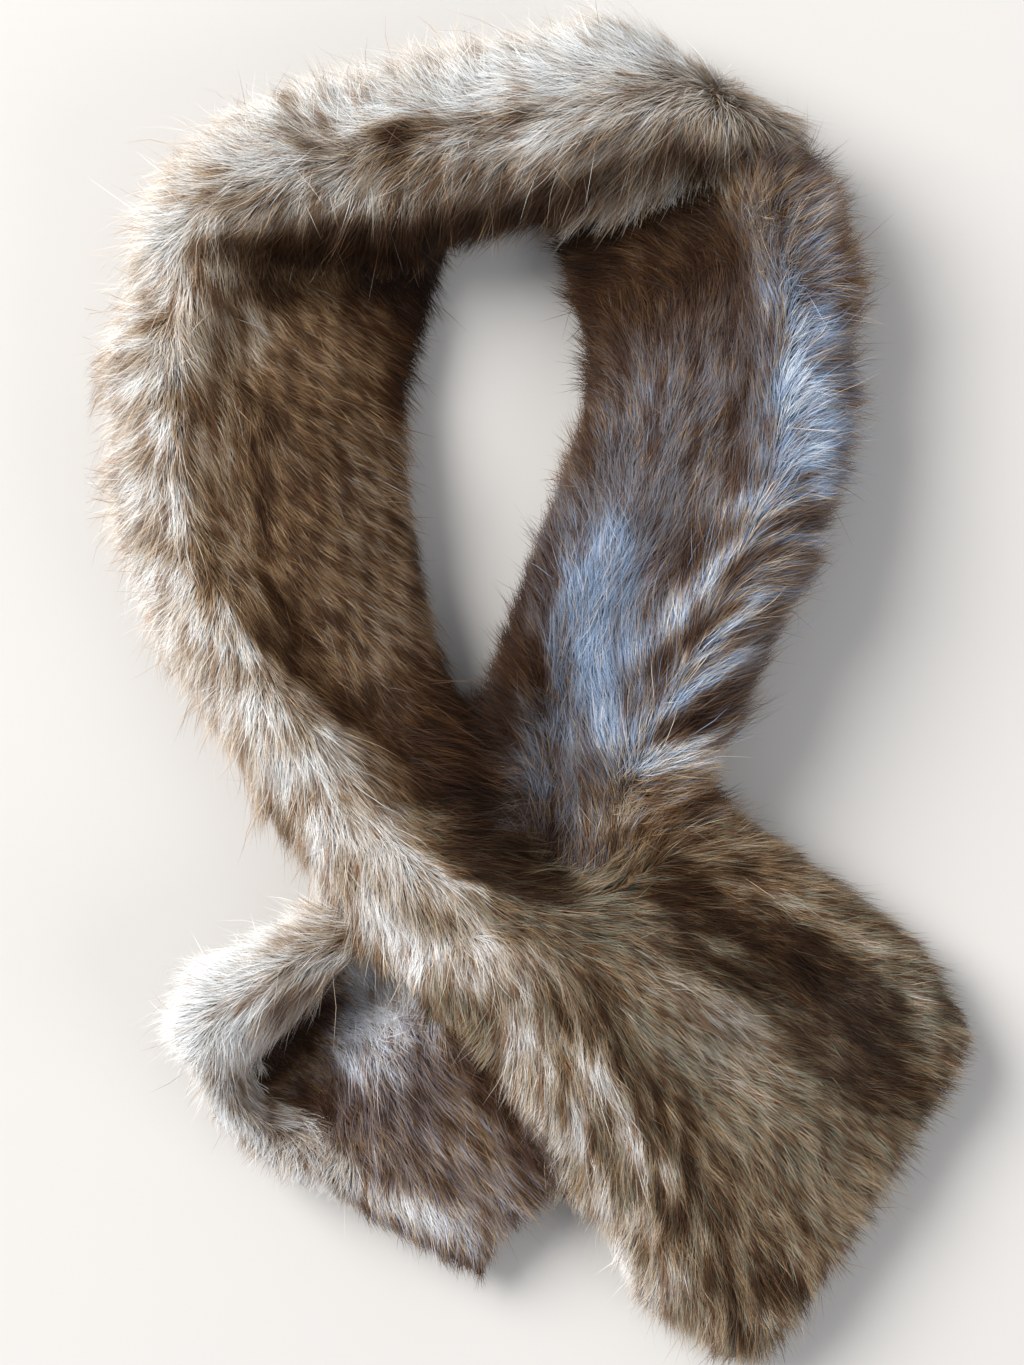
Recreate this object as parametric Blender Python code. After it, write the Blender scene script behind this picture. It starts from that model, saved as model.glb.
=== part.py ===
"""A fur collar wrap laid on a flat surface, its two ends crossed below the neck loop.

The wrap is one long band of fur cloth, doubled so that the pile is outside all round. Each solid is
one stretch of the band that shows, out to the tips of its pile, and is a loft through cross-sections.
A cross-section runs from the band's inner edge, on the side of the neck opening, to its outer edge.
The band lies about 160 mm wide and, pile and all, about 40 mm thick; where it is folded or gathered
it is narrower and up to twice as thick. All the sizes in the tables are millimetres, X across the
wrap and Y from its ends to its back.
"""

import math
from collections import namedtuple

import bmesh
import bpy
from mathutils import Matrix, Vector

MM = 0.001

SEAM_GAP = 0.4
CUT_CLEARANCE = 0.5

# The shape of a cross-section.
WAIST = 0.45  # where an edge sticks out furthest, as a share of the height there
ROUND_SHARE = 0.62  # how far an edge's rounding reaches in, as a share of the height there
MOST_ROUND = 0.42  # the same, as a share of the section's width
EDGE_POINTS = 6
TOP_POINTS = 11
UNDER_POINTS = 3
INNER_WAIST = EDGE_POINTS // 2
OUTER_WAIST = EDGE_POINTS + TOP_POINTS + EDGE_POINTS // 2

RING_SPACING = 11.5
TAIL_ROUNDING = 22.0
HOLLOW_ROUNDING = 10.0
END_ROUNDING = 6.0
CLOSING_RINGS = 5

# The pile stands in loose tufts, which make the outline and the crests uneven.
TUFT_LENGTHS = (61.0, 37.0, 23.0)
TUFT_HEIGHTS = (1.5, 1.1, 0.7)

# One row for each cross-section.
# in_x, in_y and out_x, out_y: the inner and the outer edge.
# base_in, base_out: the underside's height at each edge, above 0 where the band crosses over itself.
# edge, middle, crest: how thick the band is at the inner edge, half-way to the crest and on it.
# crest_at: the crest's place, as a share of the width. crease: the depth of a fold at crease_at.
Section = namedtuple(
    "Section",
    "in_x in_y out_x out_y base_in base_out edge middle crest crest_at crease crease_at",
)

# From the back fold, down the left of the neck opening, over the crossing and to the free end.
# The outer edge is folded under as far as the crossing, so two layers lie under the crest.
LEFT_BAND = [
    Section(-34, 194, -136, 194, 0, 0, 18, 22, 36, 0.82, 0, 0.50),
    Section(-35, 182, -150, 181, 0, 0, 20, 26, 54, 0.82, 1, 0.50),
    Section(-38, 168, -163, 167, 0, 0, 21, 30, 70, 0.82, 4, 0.56),
    Section(-42, 154, -168, 156, 0, 0, 22, 36, 75, 0.81, 6, 0.60),
    Section(-50, 128, -173, 128, 0, 0, 26, 48, 77, 0.80, 9, 0.63),
    Section(-51, 96, -173, 96, 0, 0, 32, 53, 76, 0.78, 9, 0.62),
    Section(-47, 60, -168, 62, 0, 0, 34, 54, 75, 0.76, 8, 0.58),
    Section(-40, 28, -155, 26, 0, 0, 35, 53, 74, 0.71, 7, 0.50),
    Section(-32, -4, -136, -8, 0, 0, 36, 52, 72, 0.64, 5, 0.42),
    Section(-22, -34, -114, -42, 5, 2, 38, 52, 66, 0.56, 3, 0.30),
]
OVER_TAIL = [
    Section(-8, -64, -96, -74, 18, 10, 35, 46, 56, 0.50, 0, 0.30),
    Section(14, -76, -76, -98, 25, 21, 31, 40, 44, 0.50, 0, 0.30),
    Section(42, -66, -48, -125, 26, 27, 30, 37, 39, 0.52, 2, 0.40),
    Section(74, -47, -26, -146, 16, 26, 34, 38, 40, 0.52, 3, 0.42),
    Section(104, -62, -9, -169, 4, 20, 38, 38, 44, 0.52, 4, 0.36),
    Section(128, -79, 8, -196, 0, 9, 40, 36, 46, 0.54, 5, 0.34),
    Section(146, -92, 22, -222, 0, 0, 41, 36, 45, 0.56, 5, 0.34),
    Section(159, -104, 38, -249, 0, 0, 41, 37, 43, 0.56, 4, 0.36),
    Section(169, -121, 70, -270, 0, 0, 40, 38, 41, 0.54, 2, 0.40),
]

# From the back fold, down the right of the neck opening and under the crossing to the other free end.
RIGHT_BAND = [
    Section(-6, 212, 92, 224, 0, 0, 20, 24, 40, 0.86, 0, 0.50),
    Section(2, 194, 117, 208, 0, 0, 23, 30, 68, 0.86, 3, 0.56),
    Section(9, 160, 127, 174, 0, 0, 26, 36, 75, 0.86, 5, 0.60),
    Section(16, 129, 128, 137, 0, 0, 29, 44, 77, 0.85, 8, 0.64),
    Section(8, 96, 124, 97, 0, 0, 32, 49, 76, 0.84, 9, 0.62),
    Section(-4, 64, 114, 61, 0, 0, 33, 51, 74, 0.82, 8, 0.56),
    Section(-14, 33, 98, 27, 0, 0, 36, 50, 72, 0.79, 7, 0.44),
    Section(-25, 0, 85, -5, 0, 0, 40, 46, 68, 0.76, 10, 0.36),
    Section(-33, -32, 71, -31, 0, 0, 40, 44, 62, 0.74, 13, 0.40),
    Section(-30, -58, 79, -49, 0, 0, 34, 38, 50, 0.72, 10, 0.40),
    Section(-38, -80, 70, -80, 0, 0, 28, 30, 33, 0.60, 3, 0.40),
]
UNDER_TAIL = [
    Section(-52, -88, 50, -108, 0, 0, 26, 29, 31, 0.50, 0, 0.40),
    Section(-70, -93, 32, -132, 0, 0, 25, 30, 32, 0.50, 0, 0.40),
    Section(-92, -99, 20, -160, 0, 0, 21, 28, 44, 0.52, 6, 0.26),
    Section(-116, -109, 12, -186, 0, 0, 17, 26, 46, 0.54, 9, 0.24),
    Section(-131, -128, 4, -204, 0, 0, 16, 25, 41, 0.56, 8, 0.24),
    Section(-140, -166, -16, -238, 0, 0, 17, 27, 34, 0.58, 3, 0.26),
]

# The band's edge rolled up over the under tail, from the crossing, round the corner and along the end.
# Here the inner edge lies over the tail's hollow and the outer edge is the outline.
ROLLED_EDGE = [
    Section(-62, -104, -66, -84, 30, 30, 14, 20, 22, 0.50, 0, 0.50),
    Section(-80, -116, -92, -88, 24, 24, 30, 35, 38, 0.52, 0, 0.50),
    Section(-97, -132, -119, -99, 18, 8, 36, 44, 50, 0.54, 0, 0.50),
    Section(-108, -144, -140, -115, 17, 0, 34, 46, 56, 0.56, 0, 0.50),
    Section(-115, -152, -152, -137, 17, 0, 31, 43, 54, 0.56, 0, 0.50),
    Section(-115, -160, -141, -158, 18, 0, 27, 36, 48, 0.54, 0, 0.50),
    Section(-104, -167, -125, -184, 19, 4, 24, 30, 38, 0.54, 0, 0.50),
    Section(-86, -176, -103, -201, 20, 9, 19, 23, 28, 0.52, 0, 0.50),
    Section(-66, -188, -80, -213, 18, 12, 14, 16, 18, 0.50, 0, 0.50),
]

# The back of the neck. The band is rolled over here, so that its outer face lies uppermost and its
# edge hangs towards the neck opening. The inner ends of these rows lie along the tops of the bands.
BACK_FOLD = [
    Section(-112, 176, -163, 170, 0, 0, 58, 70, 74, 0.55, 0, 0.50),
    Section(-98, 177, -157, 196, 0, 0, 62, 74, 78, 0.52, 0, 0.50),
    Section(-80, 178, -142, 216, 0, 0, 64, 76, 80, 0.50, 2, 0.50),
    Section(-57, 176, -112, 234, 0, 0, 64, 75, 79, 0.48, 4, 0.40),
    Section(-36, 178, -78, 246, 0, 0, 62, 73, 77, 0.46, 5, 0.34),
    Section(-12, 184, -40, 254, 0, 0, 60, 72, 76, 0.44, 3, 0.36),
    Section(10, 191, -6, 262, 0, 0, 62, 74, 78, 0.42, 2, 0.40),
    Section(32, 198, 30, 268, 0, 0, 64, 76, 80, 0.42, 4, 0.60),
    Section(54, 206, 62, 256, 0, 0, 62, 75, 79, 0.44, 3, 0.60),
    Section(72, 210, 86, 240, 0, 0, 60, 72, 77, 0.48, 0, 0.50),
    Section(88, 211, 103, 228, 0, 0, 54, 66, 72, 0.50, 0, 0.50),
]


def smooth(t):
    """0 to 1 as t goes from 0 to 1, level at both ends."""
    t = min(max(t, 0.0), 1.0)
    return t * t * (3 - 2 * t)


def between(before, start, end, after, t):
    """A point of the smooth curve that goes through start and end, t of the way along."""
    slope_start = (end - before) / 2
    slope_end = (after - start) / 2
    t2 = t * t
    t3 = t2 * t
    return (
        (2 * t3 - 3 * t2 + 1) * start
        + (t3 - 2 * t2 + t) * slope_start
        + (3 * t2 - 2 * t3) * end
        + (t3 - t2) * slope_end
    )


def middle_of(section):
    return Vector((section.in_x + section.out_x, section.in_y + section.out_y)) / 2


def spaced_sections(rows, spacing):
    """The sections of a band, about spacing apart, on smooth curves through the rows."""
    found = []
    for i in range(len(rows) - 1):
        around = [rows[max(i - 1, 0)], rows[i], rows[i + 1], rows[min(i + 2, len(rows) - 1)]]
        length = (middle_of(rows[i + 1]) - middle_of(rows[i])).length
        steps = max(1, round(length / spacing))
        for step in range(steps):
            values = (between(*column, step / steps) for column in zip(*around))
            found.append(Section(*values))
    return [*found, rows[-1]]


def tuft(along, phase):
    """How far the pile stands out at a place along the band."""
    out = 0.0
    for k, (length, height) in enumerate(zip(TUFT_LENGTHS, TUFT_HEIGHTS)):
        out += height * math.sin(2 * math.pi * along / length + phase * (k + 1))
    return out


def thickness(section, share):
    """The band's thickness at a share of the way from its inner edge to its outer edge."""
    half = section.crest_at / 2
    if share < half:
        height = section.edge + (section.middle - section.edge) * smooth(share / half)
    elif share < section.crest_at:
        rise = smooth((share - half) / (section.crest_at - half))
        height = section.middle + (section.crest - section.middle) * rise
    else:
        fall = (share - section.crest_at) / (1 - section.crest_at)
        height = section.crest * (1 - 0.22 * fall * fall)
    away = (share - section.crease_at) / 0.11
    return height - section.crease * math.exp(-away * away)


def ring_of(section, along):
    """The closed ring of points round one cross-section."""
    inner = Vector((section.in_x, section.in_y))
    outer = Vector((section.out_x, section.out_y))
    across = (outer - inner).normalized()
    outer += across * tuft(along, 1.0)
    width = (outer - inner).length

    def base(u):
        return max(0.0, section.base_in + (section.base_out - section.base_in) * u / width)

    def height(u):
        ruffle = tuft(along, 2.0 + 3.0 * u / width) * smooth(4 * u / width)
        return thickness(section, u / width) + ruffle

    def point(u, z):
        place = inner + across * u
        return Vector((place.x, place.y, z))

    def edge_points(reach, sign, start):
        """The rounding of one edge, from the underside round to the top."""
        here = []
        for k in range(EDGE_POINTS + 1):
            turn = math.pi * (k / EDGE_POINTS - 0.5)
            u = start + sign * reach * (1 - math.cos(turn))
            low, high = base(start + sign * reach), height(start + sign * reach)
            waist = low + WAIST * high
            span = high * (1 - WAIST) if turn > 0 else high * WAIST
            here.append(point(u, waist + span * math.sin(turn)))
        return here

    in_reach = min(ROUND_SHARE * section.edge, MOST_ROUND * width)
    out_reach = min(ROUND_SHARE * 0.7 * section.crest, MOST_ROUND * width)
    inner_edge = edge_points(in_reach, 1, 0.0)
    outer_edge = edge_points(out_reach, -1, width)
    top = []
    for k in range(1, TOP_POINTS):
        u = in_reach + (width - in_reach - out_reach) * k / TOP_POINTS
        top.append(point(u, base(u) + height(u)))
    under = []
    for k in range(1, UNDER_POINTS + 1):
        u = width - out_reach - (width - in_reach - out_reach) * k / (UNDER_POINTS + 1)
        under.append(point(u, base(u)))
    return inner_edge + top + outer_edge[::-1] + under


def closing_rings(ring, forward, rounding):
    """Rings that round off a free end: each is smaller than the one before and further along."""
    centre = sum(ring, Vector()) / len(ring)
    half_width = across_ring(ring).length / 2
    across = across_ring(ring).normalized()
    found = []
    for k in range(1, CLOSING_RINGS + 1):
        turn = math.radians(84) * k / CLOSING_RINGS
        narrow = 1 - rounding * (1 - math.cos(turn)) / half_width
        low = math.cos(turn)
        ahead = forward * rounding * math.sin(turn)
        here = []
        for p in ring:
            away = (p - centre).to_2d()
            share = away.dot(across)
            rest = away - across * share
            flat = centre.to_2d() + across * share * narrow + rest + ahead
            here.append(Vector((flat.x, flat.y, centre.z + (p.z - centre.z) * low)))
        found.append(here)
    return found


def across_ring(ring):
    """The level way across a ring, from its outer edge to its inner edge."""
    return (ring[INNER_WAIST] - ring[OUTER_WAIST]).to_2d()


def heading(near, far):
    """The level way from one ring to the next, square to the second."""
    across = across_ring(far).normalized()
    square = Vector((-across.y, across.x))
    step = (sum(far, Vector()) / len(far) - sum(near, Vector()) / len(near)).to_2d()
    return square if square.dot(step) > 0 else -square


def band_rings(rows):
    """The sections of a whole band, and the rings round them."""
    sections = spaced_sections(rows, RING_SPACING)
    rings = []
    along = 0.0
    for before, section in zip([sections[0], *sections], sections):
        along += (middle_of(section) - middle_of(before)).length
        rings.append(ring_of(section, along))
    return sections, rings


def seamed_stretches(rows, seam):
    """A band's rings in two lists, before and after the seam. The second stops short by the gap."""
    sections, rings = band_rings(rows)
    i = sections.index(seam)
    before, after = rings[: i + 1], rings[i:]
    after[0] = [p + (q - p).normalized() * SEAM_GAP for p, q in zip(after[0], after[1])]
    return before, after


def rounded_start(rings, rounding):
    return closing_rings(rings[0], heading(rings[1], rings[0]), rounding)[::-1] + rings


def rounded_end(rings, rounding):
    return rings + closing_rings(rings[-1], heading(rings[-2], rings[-1]), rounding)


def roll_rings(rows):
    """The rings of a roll that is rounded off at both ends."""
    return rounded_start(rounded_end(band_rings(rows)[1], END_ROUNDING), END_ROUNDING)


def close_end(shape, loop):
    """Closes one end with upright strips from the underside's points to the top's."""
    top = loop[INNER_WAIST : OUTER_WAIST + 1]
    under = [loop[INNER_WAIST], *loop[:INNER_WAIST][::-1], *loop[OUTER_WAIST:][::-1]]
    start = loop[INNER_WAIST].co

    def across(vertex):
        return (vertex.co - start).to_2d().length

    i = j = 0
    while i < len(top) - 2 or j < len(under) - 2:
        step_top = j == len(under) - 2 or (i < len(top) - 2 and across(top[i + 1]) < across(under[j + 1]))
        if step_top:
            corners = [top[i], top[i + 1], under[j]]
            i += 1
        else:
            corners = [top[i], under[j + 1], under[j]]
            j += 1
        if len(set(corners)) == 3:
            shape.faces.new(corners)
    shape.faces.new([top[-2], top[-1], under[-2]])


def loft(name, rings, material, collection, grow=0.0):
    """One closed solid through the rings, grown outwards by a clearance, shaded smooth."""
    shape = bmesh.new()
    loops = [[shape.verts.new(p * MM) for p in ring] for ring in rings]
    for near, far in zip(loops, loops[1:]):
        for i in range(len(near)):
            j = (i + 1) % len(near)
            shape.faces.new((near[i], near[j], far[j], far[i]))
    close_end(shape, loops[0])
    close_end(shape, loops[-1])
    # The same diagonals in a piece and in its cutter keep the clearance even.
    bmesh.ops.triangulate(shape, faces=shape.faces, quad_method="FIXED")
    bmesh.ops.recalc_face_normals(shape, faces=shape.faces)
    shape.normal_update()
    moves = [v.normal * v.calc_shell_factor() * grow * MM for v in shape.verts]
    for vertex, move in zip(shape.verts, moves):
        vertex.co += move
    mesh = bpy.data.meshes.new(name)
    shape.to_mesh(mesh)
    shape.free()
    mesh.shade_smooth()
    piece = bpy.data.objects.new(name, mesh)
    collection.objects.link(piece)
    if material:
        mesh.materials.append(material)
    return piece


def cut_clear_of(piece, cutter):
    """Leaves the piece just clear of what lies on it."""
    cutter.hide_render = True
    cutter.display_type = "WIRE"
    cut = piece.modifiers.new("clear_of_" + cutter.name, "BOOLEAN")
    cut.operation = "DIFFERENCE"
    cut.object = cutter


def fur_material(name, colour):
    """Long soft pile: dull, with a little sheen at grazing angles."""
    material = bpy.data.materials.new(name)
    material.use_nodes = True
    shader = material.node_tree.nodes["Principled BSDF"]
    shader.inputs["Base Color"].default_value = (*colour, 1)
    shader.inputs["Roughness"].default_value = 0.85
    shader.inputs["Metallic"].default_value = 0.0
    shader.inputs["Sheen Weight"].default_value = 0.4
    return material


def new_collection(name):
    collection = bpy.data.collections.new(name)
    bpy.context.scene.collection.children.link(collection)
    return collection


def centre_on_floor(pieces, helpers):
    """Moves everything so that the wrap's box is centred over the origin and stands on Z = 0."""
    bpy.context.view_layer.update()
    corners = [piece.matrix_world @ v.co for piece in pieces for v in piece.data.vertices]
    low = Vector([min(c[i] for c in corners) for i in range(3)])
    high = Vector([max(c[i] for c in corners) for i in range(3)])
    shift = Vector((-(low.x + high.x) / 2, -(low.y + high.y) / 2, -low.z))
    for piece in [*pieces, *helpers]:
        piece.data.transform(Matrix.Translation(shift))


def build():
    for old in list(bpy.data.objects):
        bpy.data.objects.remove(old)
    wrap = new_collection("fur_collar_wrap")
    cutters = new_collection("cutters")
    outer_fur = fur_material("outer_fur", (0.50, 0.40, 0.30))
    left_fur = fur_material("left_fur", (0.42, 0.34, 0.27))
    right_fur = fur_material("right_fur", (0.46, 0.40, 0.38))
    under_fur = fur_material("under_fur", (0.36, 0.30, 0.26))

    over_rows = [*LEFT_BAND, *OVER_TAIL]
    under_rows = [*RIGHT_BAND, *UNDER_TAIL]
    left_rings, over_rings = seamed_stretches(over_rows, LEFT_BAND[-1])
    right_rings, under_rings = seamed_stretches(under_rows, RIGHT_BAND[-1])
    back_fold = loft("back_fold", roll_rings(BACK_FOLD), outer_fur, wrap)
    left_band = loft("left_band", left_rings, left_fur, wrap)
    over_tail = loft("over_tail", rounded_end(over_rings, TAIL_ROUNDING), outer_fur, wrap)
    right_band = loft("right_band", right_rings, right_fur, wrap)
    under_tail = loft("under_tail", rounded_end(under_rings, HOLLOW_ROUNDING), under_fur, wrap)
    rolled_edge = loft("rolled_edge", roll_rings(ROLLED_EDGE), outer_fur, wrap)

    whole_over = rounded_end(band_rings(over_rows)[1], TAIL_ROUNDING)
    over_cutter = loft("over_cutter", whole_over, None, cutters, CUT_CLEARANCE)
    edge_cutter = loft("edge_cutter", roll_rings(ROLLED_EDGE), None, cutters, CUT_CLEARANCE)
    back_cutter = loft("back_cutter", roll_rings(BACK_FOLD), None, cutters, CUT_CLEARANCE)
    cut_clear_of(left_band, back_cutter)
    cut_clear_of(right_band, back_cutter)
    cut_clear_of(right_band, over_cutter)
    cut_clear_of(under_tail, over_cutter)
    cut_clear_of(rolled_edge, over_cutter)
    cut_clear_of(under_tail, edge_cutter)
    pieces = [back_fold, left_band, over_tail, right_band, under_tail, rolled_edge]
    centre_on_floor(pieces, [over_cutter, edge_cutter, back_cutter])


build()
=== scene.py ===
"""The looks of the fur collar wrap.

Each stretch of the wrap is a backing skin, set a little inside its CAD solid, with four coats of
combed strands on it: a few long pale wisps, guard hairs, a shorter pile and a dense short down.
"""

import math
from collections import namedtuple

import bmesh
import bpy
import numpy as np
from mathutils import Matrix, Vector
from mathutils.bvhtree import BVHTree
from mathutils.kdtree import KDTree


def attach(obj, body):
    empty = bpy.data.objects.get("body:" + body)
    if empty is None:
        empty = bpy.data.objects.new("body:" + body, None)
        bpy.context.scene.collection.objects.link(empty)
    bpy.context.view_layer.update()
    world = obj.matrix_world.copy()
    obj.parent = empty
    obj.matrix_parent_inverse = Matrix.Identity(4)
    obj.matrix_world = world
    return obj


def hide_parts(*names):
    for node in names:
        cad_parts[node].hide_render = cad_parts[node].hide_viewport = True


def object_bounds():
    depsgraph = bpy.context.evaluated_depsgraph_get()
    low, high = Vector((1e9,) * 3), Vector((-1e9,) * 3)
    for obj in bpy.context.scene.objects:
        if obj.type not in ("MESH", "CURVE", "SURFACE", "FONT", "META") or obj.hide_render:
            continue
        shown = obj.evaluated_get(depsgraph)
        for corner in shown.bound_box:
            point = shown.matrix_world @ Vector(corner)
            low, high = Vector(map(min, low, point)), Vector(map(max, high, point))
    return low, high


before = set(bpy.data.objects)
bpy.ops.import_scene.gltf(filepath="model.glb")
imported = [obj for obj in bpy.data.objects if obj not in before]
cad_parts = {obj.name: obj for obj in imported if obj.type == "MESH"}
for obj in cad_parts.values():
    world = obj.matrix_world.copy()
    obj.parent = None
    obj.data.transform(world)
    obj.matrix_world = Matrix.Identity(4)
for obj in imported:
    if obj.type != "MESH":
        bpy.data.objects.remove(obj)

CAD_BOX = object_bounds()
SEED = 20

# The strands stay in this box, a little past the CAD's and just off the floor, in metres.
PAST_BOX = (0.009, 0.011, 0.009)
TIP_GAP = 0.0006
LOWEST = np.array([CAD_BOX[0][0] - PAST_BOX[0], CAD_BOX[0][1] - PAST_BOX[1], TIP_GAP])
HIGHEST = np.array([side + past for side, past in zip(CAD_BOX[1], PAST_BOX)])

# A stretch's coat: the tone between its patches and how far that strays, the share of it that dark
# flecks cover, how far apart their rows are in metres, the share of warm strands, the cut's size in
# metres, how it is held, and its material slot.
Coat = namedtuple("Coat", "tone spread flecked row warm flat held slot")
# One kind of strand: how many to a square metre, its segments, its share of the combed length, its
# width in mm, how steeply it ends in degrees, how far tufts draw it in, how far it sways, how light
# its root is, which is painted shade deep in the coat, and the tone that it and the fur around it
# have at least.
Strand = namedtuple("Strand", "name per_area segments length width rest draw sway shade palest")

# The camera stands where the photograph was taken from.
SENSOR, LENS = 36, 85.7  # mm
CAMERA_PLACE = (-0.0130, 0.0049, 1.34)

# A pixel of the photograph's 1024 x 1365 frame is taken to its cell of 2 x 2, one of so many across
# and down, and what it shows beside the solids is taken to be at this height in metres.
CELL = 2
CELLS_ACROSS, CELLS_DOWN = 512, 683
BESIDE_HEIGHT = 0.015
PIXEL = 0.4  # mm on the wrap

# How the hair is combed on each stretch. A row is a lock that was read off the photograph:
# its pixel's column and row, how far it points to the right and down, and its length in mm.
COMBS = {
    "back_fold": [
        (170,215,-1,-0.3,22), (230,140,-0.8,-0.8,22), (330,95,-0.5,-1,22), (450,75,-0.5,-1,22),
        (570,30,-0.4,-1,22), (690,50,-1,-0.25,20), (785,95,0.9,0.5,20), (835,160,1,-0.4,19),
        (250,190,-0.9,0.2,19), (330,150,-0.8,-0.3,19), (420,140,-1,0.1,19), (520,120,-1,0.1,19),
        (620,105,-0.7,0.6,20), (700,112,-0.4,0.9,20), (790,140,0.9,0.1,18), (200,245,0.1,1,20),
        (260,238,0.1,1,19), (340,225,0.1,1,18), (430,225,0.2,1,18), (510,215,-0.3,1,20),
        (590,175,-0.35,1,22), (650,160,0.1,1,26), (700,142,-0.1,1,22), (300,200,-0.3,0.8,19),
        (470,180,-0.4,0.7,20), (590,130,-0.6,0.6,20), (665,128,-0.3,1,22), (740,85,-0.3,1,18),
        (738,132,0.1,1,20), (665,72,-0.95,-0.2,18), (400,190,-0.2,1,20), (330,190,-0.5,0.7,20),
        (770,150,0.5,0.8,18), (620,70,-0.7,-0.6,20), (640,98,-1,0.1,20), (685,95,-0.9,0.6,20),
        (590,98,-1,0.1,20),
    ],
    "left_band": [
        (130,300,-1,0.1,23), (105,400,-1,0.15,23), (115,500,-1,0.3,23), (145,600,-0.9,0.5,23),
        (190,700,-0.7,0.8,23), (240,800,-0.5,1,23), (290,880,-0.4,1,23), (215,320,0.1,1,16),
        (215,420,0.1,1,15), (220,520,0.1,1,15), (235,620,0,1,17), (270,720,0,1,20),
        (280,340,0.6,0.9,15), (330,400,0.75,0.8,15), (385,370,0.8,0.75,15), (290,480,0.7,0.8,15),
        (360,520,0.8,0.7,15), (310,600,0.7,0.8,15), (390,620,0.8,0.7,15), (420,720,0.85,0.6,19),
        (340,720,0.5,1,16), (440,800,1,0.35,22), (370,820,0.4,1,20), (320,870,-0.1,1,22),
    ],
    "right_band": [
        (600,260,-1,-0.1,15), (680,240,-0.8,-0.4,15), (640,330,-0.1,-0.8,13), (570,330,-0.7,-0.8,14),
        (600,430,-0.1,-1,13), (560,520,-0.1,-1,14), (530,600,-0.3,-1,15), (515,690,-0.65,-1,17),
        (500,760,-1,-0.2,20), (500,830,-1,0.1,20), (680,400,0.45,-1,14), (655,490,0.6,-1,15),
        (605,580,0.3,-1,18), (595,680,0.25,-1,18), (580,770,0.1,-1,18), (560,850,0.3,-1,18),
        (730,320,0.2,-1,16), (745,420,0.5,-1,16), (720,520,0.65,-0.9,18), (670,600,0.8,-0.9,19),
        (700,680,0.8,-0.7,19), (650,740,0.8,-0.8,20), (640,820,0.9,-0.6,19), (715,790,1,0,19),
        (790,190,0.9,-0.6,22), (840,290,1,-0.1,22), (850,390,1,0,22), (830,480,1,0.1,22),
        (805,560,1,-0.2,22), (775,640,1,-0.3,22), (735,720,0.95,-0.4,22), (578,300,-1,-0.2,16),
        (585,370,-1,-0.3,16), (565,440,-1,-0.5,16), (545,490,-1,-0.6,15), (525,550,-0.9,-0.8,15),
    ],
    "over_tail": [
        (300,900,-0.5,1,18), (360,930,-0.2,1,17), (420,960,0,1,15), (480,1040,-0.3,1,14),
        (540,1130,-0.3,1,14), (590,1200,-0.35,1,15), (640,1290,-0.4,1,16), (700,1350,-0.1,1,16),
        (380,860,0.1,1,18), (450,870,0.6,0.8,18), (440,830,1,0.2,19), (500,900,0.9,0.35,18),
        (500,960,0.4,1,17), (560,1000,0.3,1,16), (600,1080,0.3,1,17), (640,1170,0.2,1,17),
        (700,1270,0.3,1,18), (570,900,1,0.15,18), (640,870,1,-0.15,17), (700,850,1,-0.1,17),
        (760,840,1,-0.1,17), (720,900,1,0.15,16), (820,890,1,0.15,17), (650,950,0.9,0.5,17),
        (760,960,0.95,0.35,17), (880,950,1,0.3,16), (680,1040,0.75,0.75,17), (800,1050,0.9,0.5,18),
        (900,1050,1,0.35,16), (740,1140,0.6,0.9,17), (850,1150,0.8,0.6,18), (780,1250,0.5,0.95,18),
        (860,1220,0.8,0.7,16), (960,1020,1,0.2,12), (930,1120,0.9,0.6,14), (800,1330,0.5,1,18),
    ],
    "under_tail": [
        (300,1060,0.2,0.2,9), (330,1020,0.6,0.1,12), (360,1000,0.5,0.7,16), (400,990,0.6,0.8,19),
        (450,1020,0.7,0.8,19), (350,1055,0.7,0.5,18), (390,1060,0.9,0.5,20), (430,1070,0.8,0.4,18),
        (350,1110,0.5,0.8,17), (400,1110,0.7,0.8,19), (480,1110,0.6,0.8,16), (440,1170,0.6,0.9,17),
        (500,1180,0.6,0.9,16), (505,1245,0.5,0.8,12), (380,1180,0.2,1,13), (310,1130,0.3,0.8,12),
        (430,1225,0.1,1,12), (290,1160,-0.4,0.8,10), (470,1265,0,1,9), (260,1085,0.5,0.3,8),
    ],
    "rolled_edge": [
        (370,920,-0.6,-0.8,20), (290,925,-0.7,-0.8,20), (220,960,-0.9,-0.4,20), (165,1010,-1,0,20),
        (170,1050,-1,0.4,18), (205,1090,-0.8,0.7,13), (250,1130,-0.6,0.9,12), (320,1190,-0.4,1,10),
        (360,950,-0.9,0.2,18), (300,970,-0.9,0.4,18), (255,1005,-0.7,0.6,17), (235,1050,-0.2,0.8,14),
        (270,1095,0.5,0.6,14),
    ],
}
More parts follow.
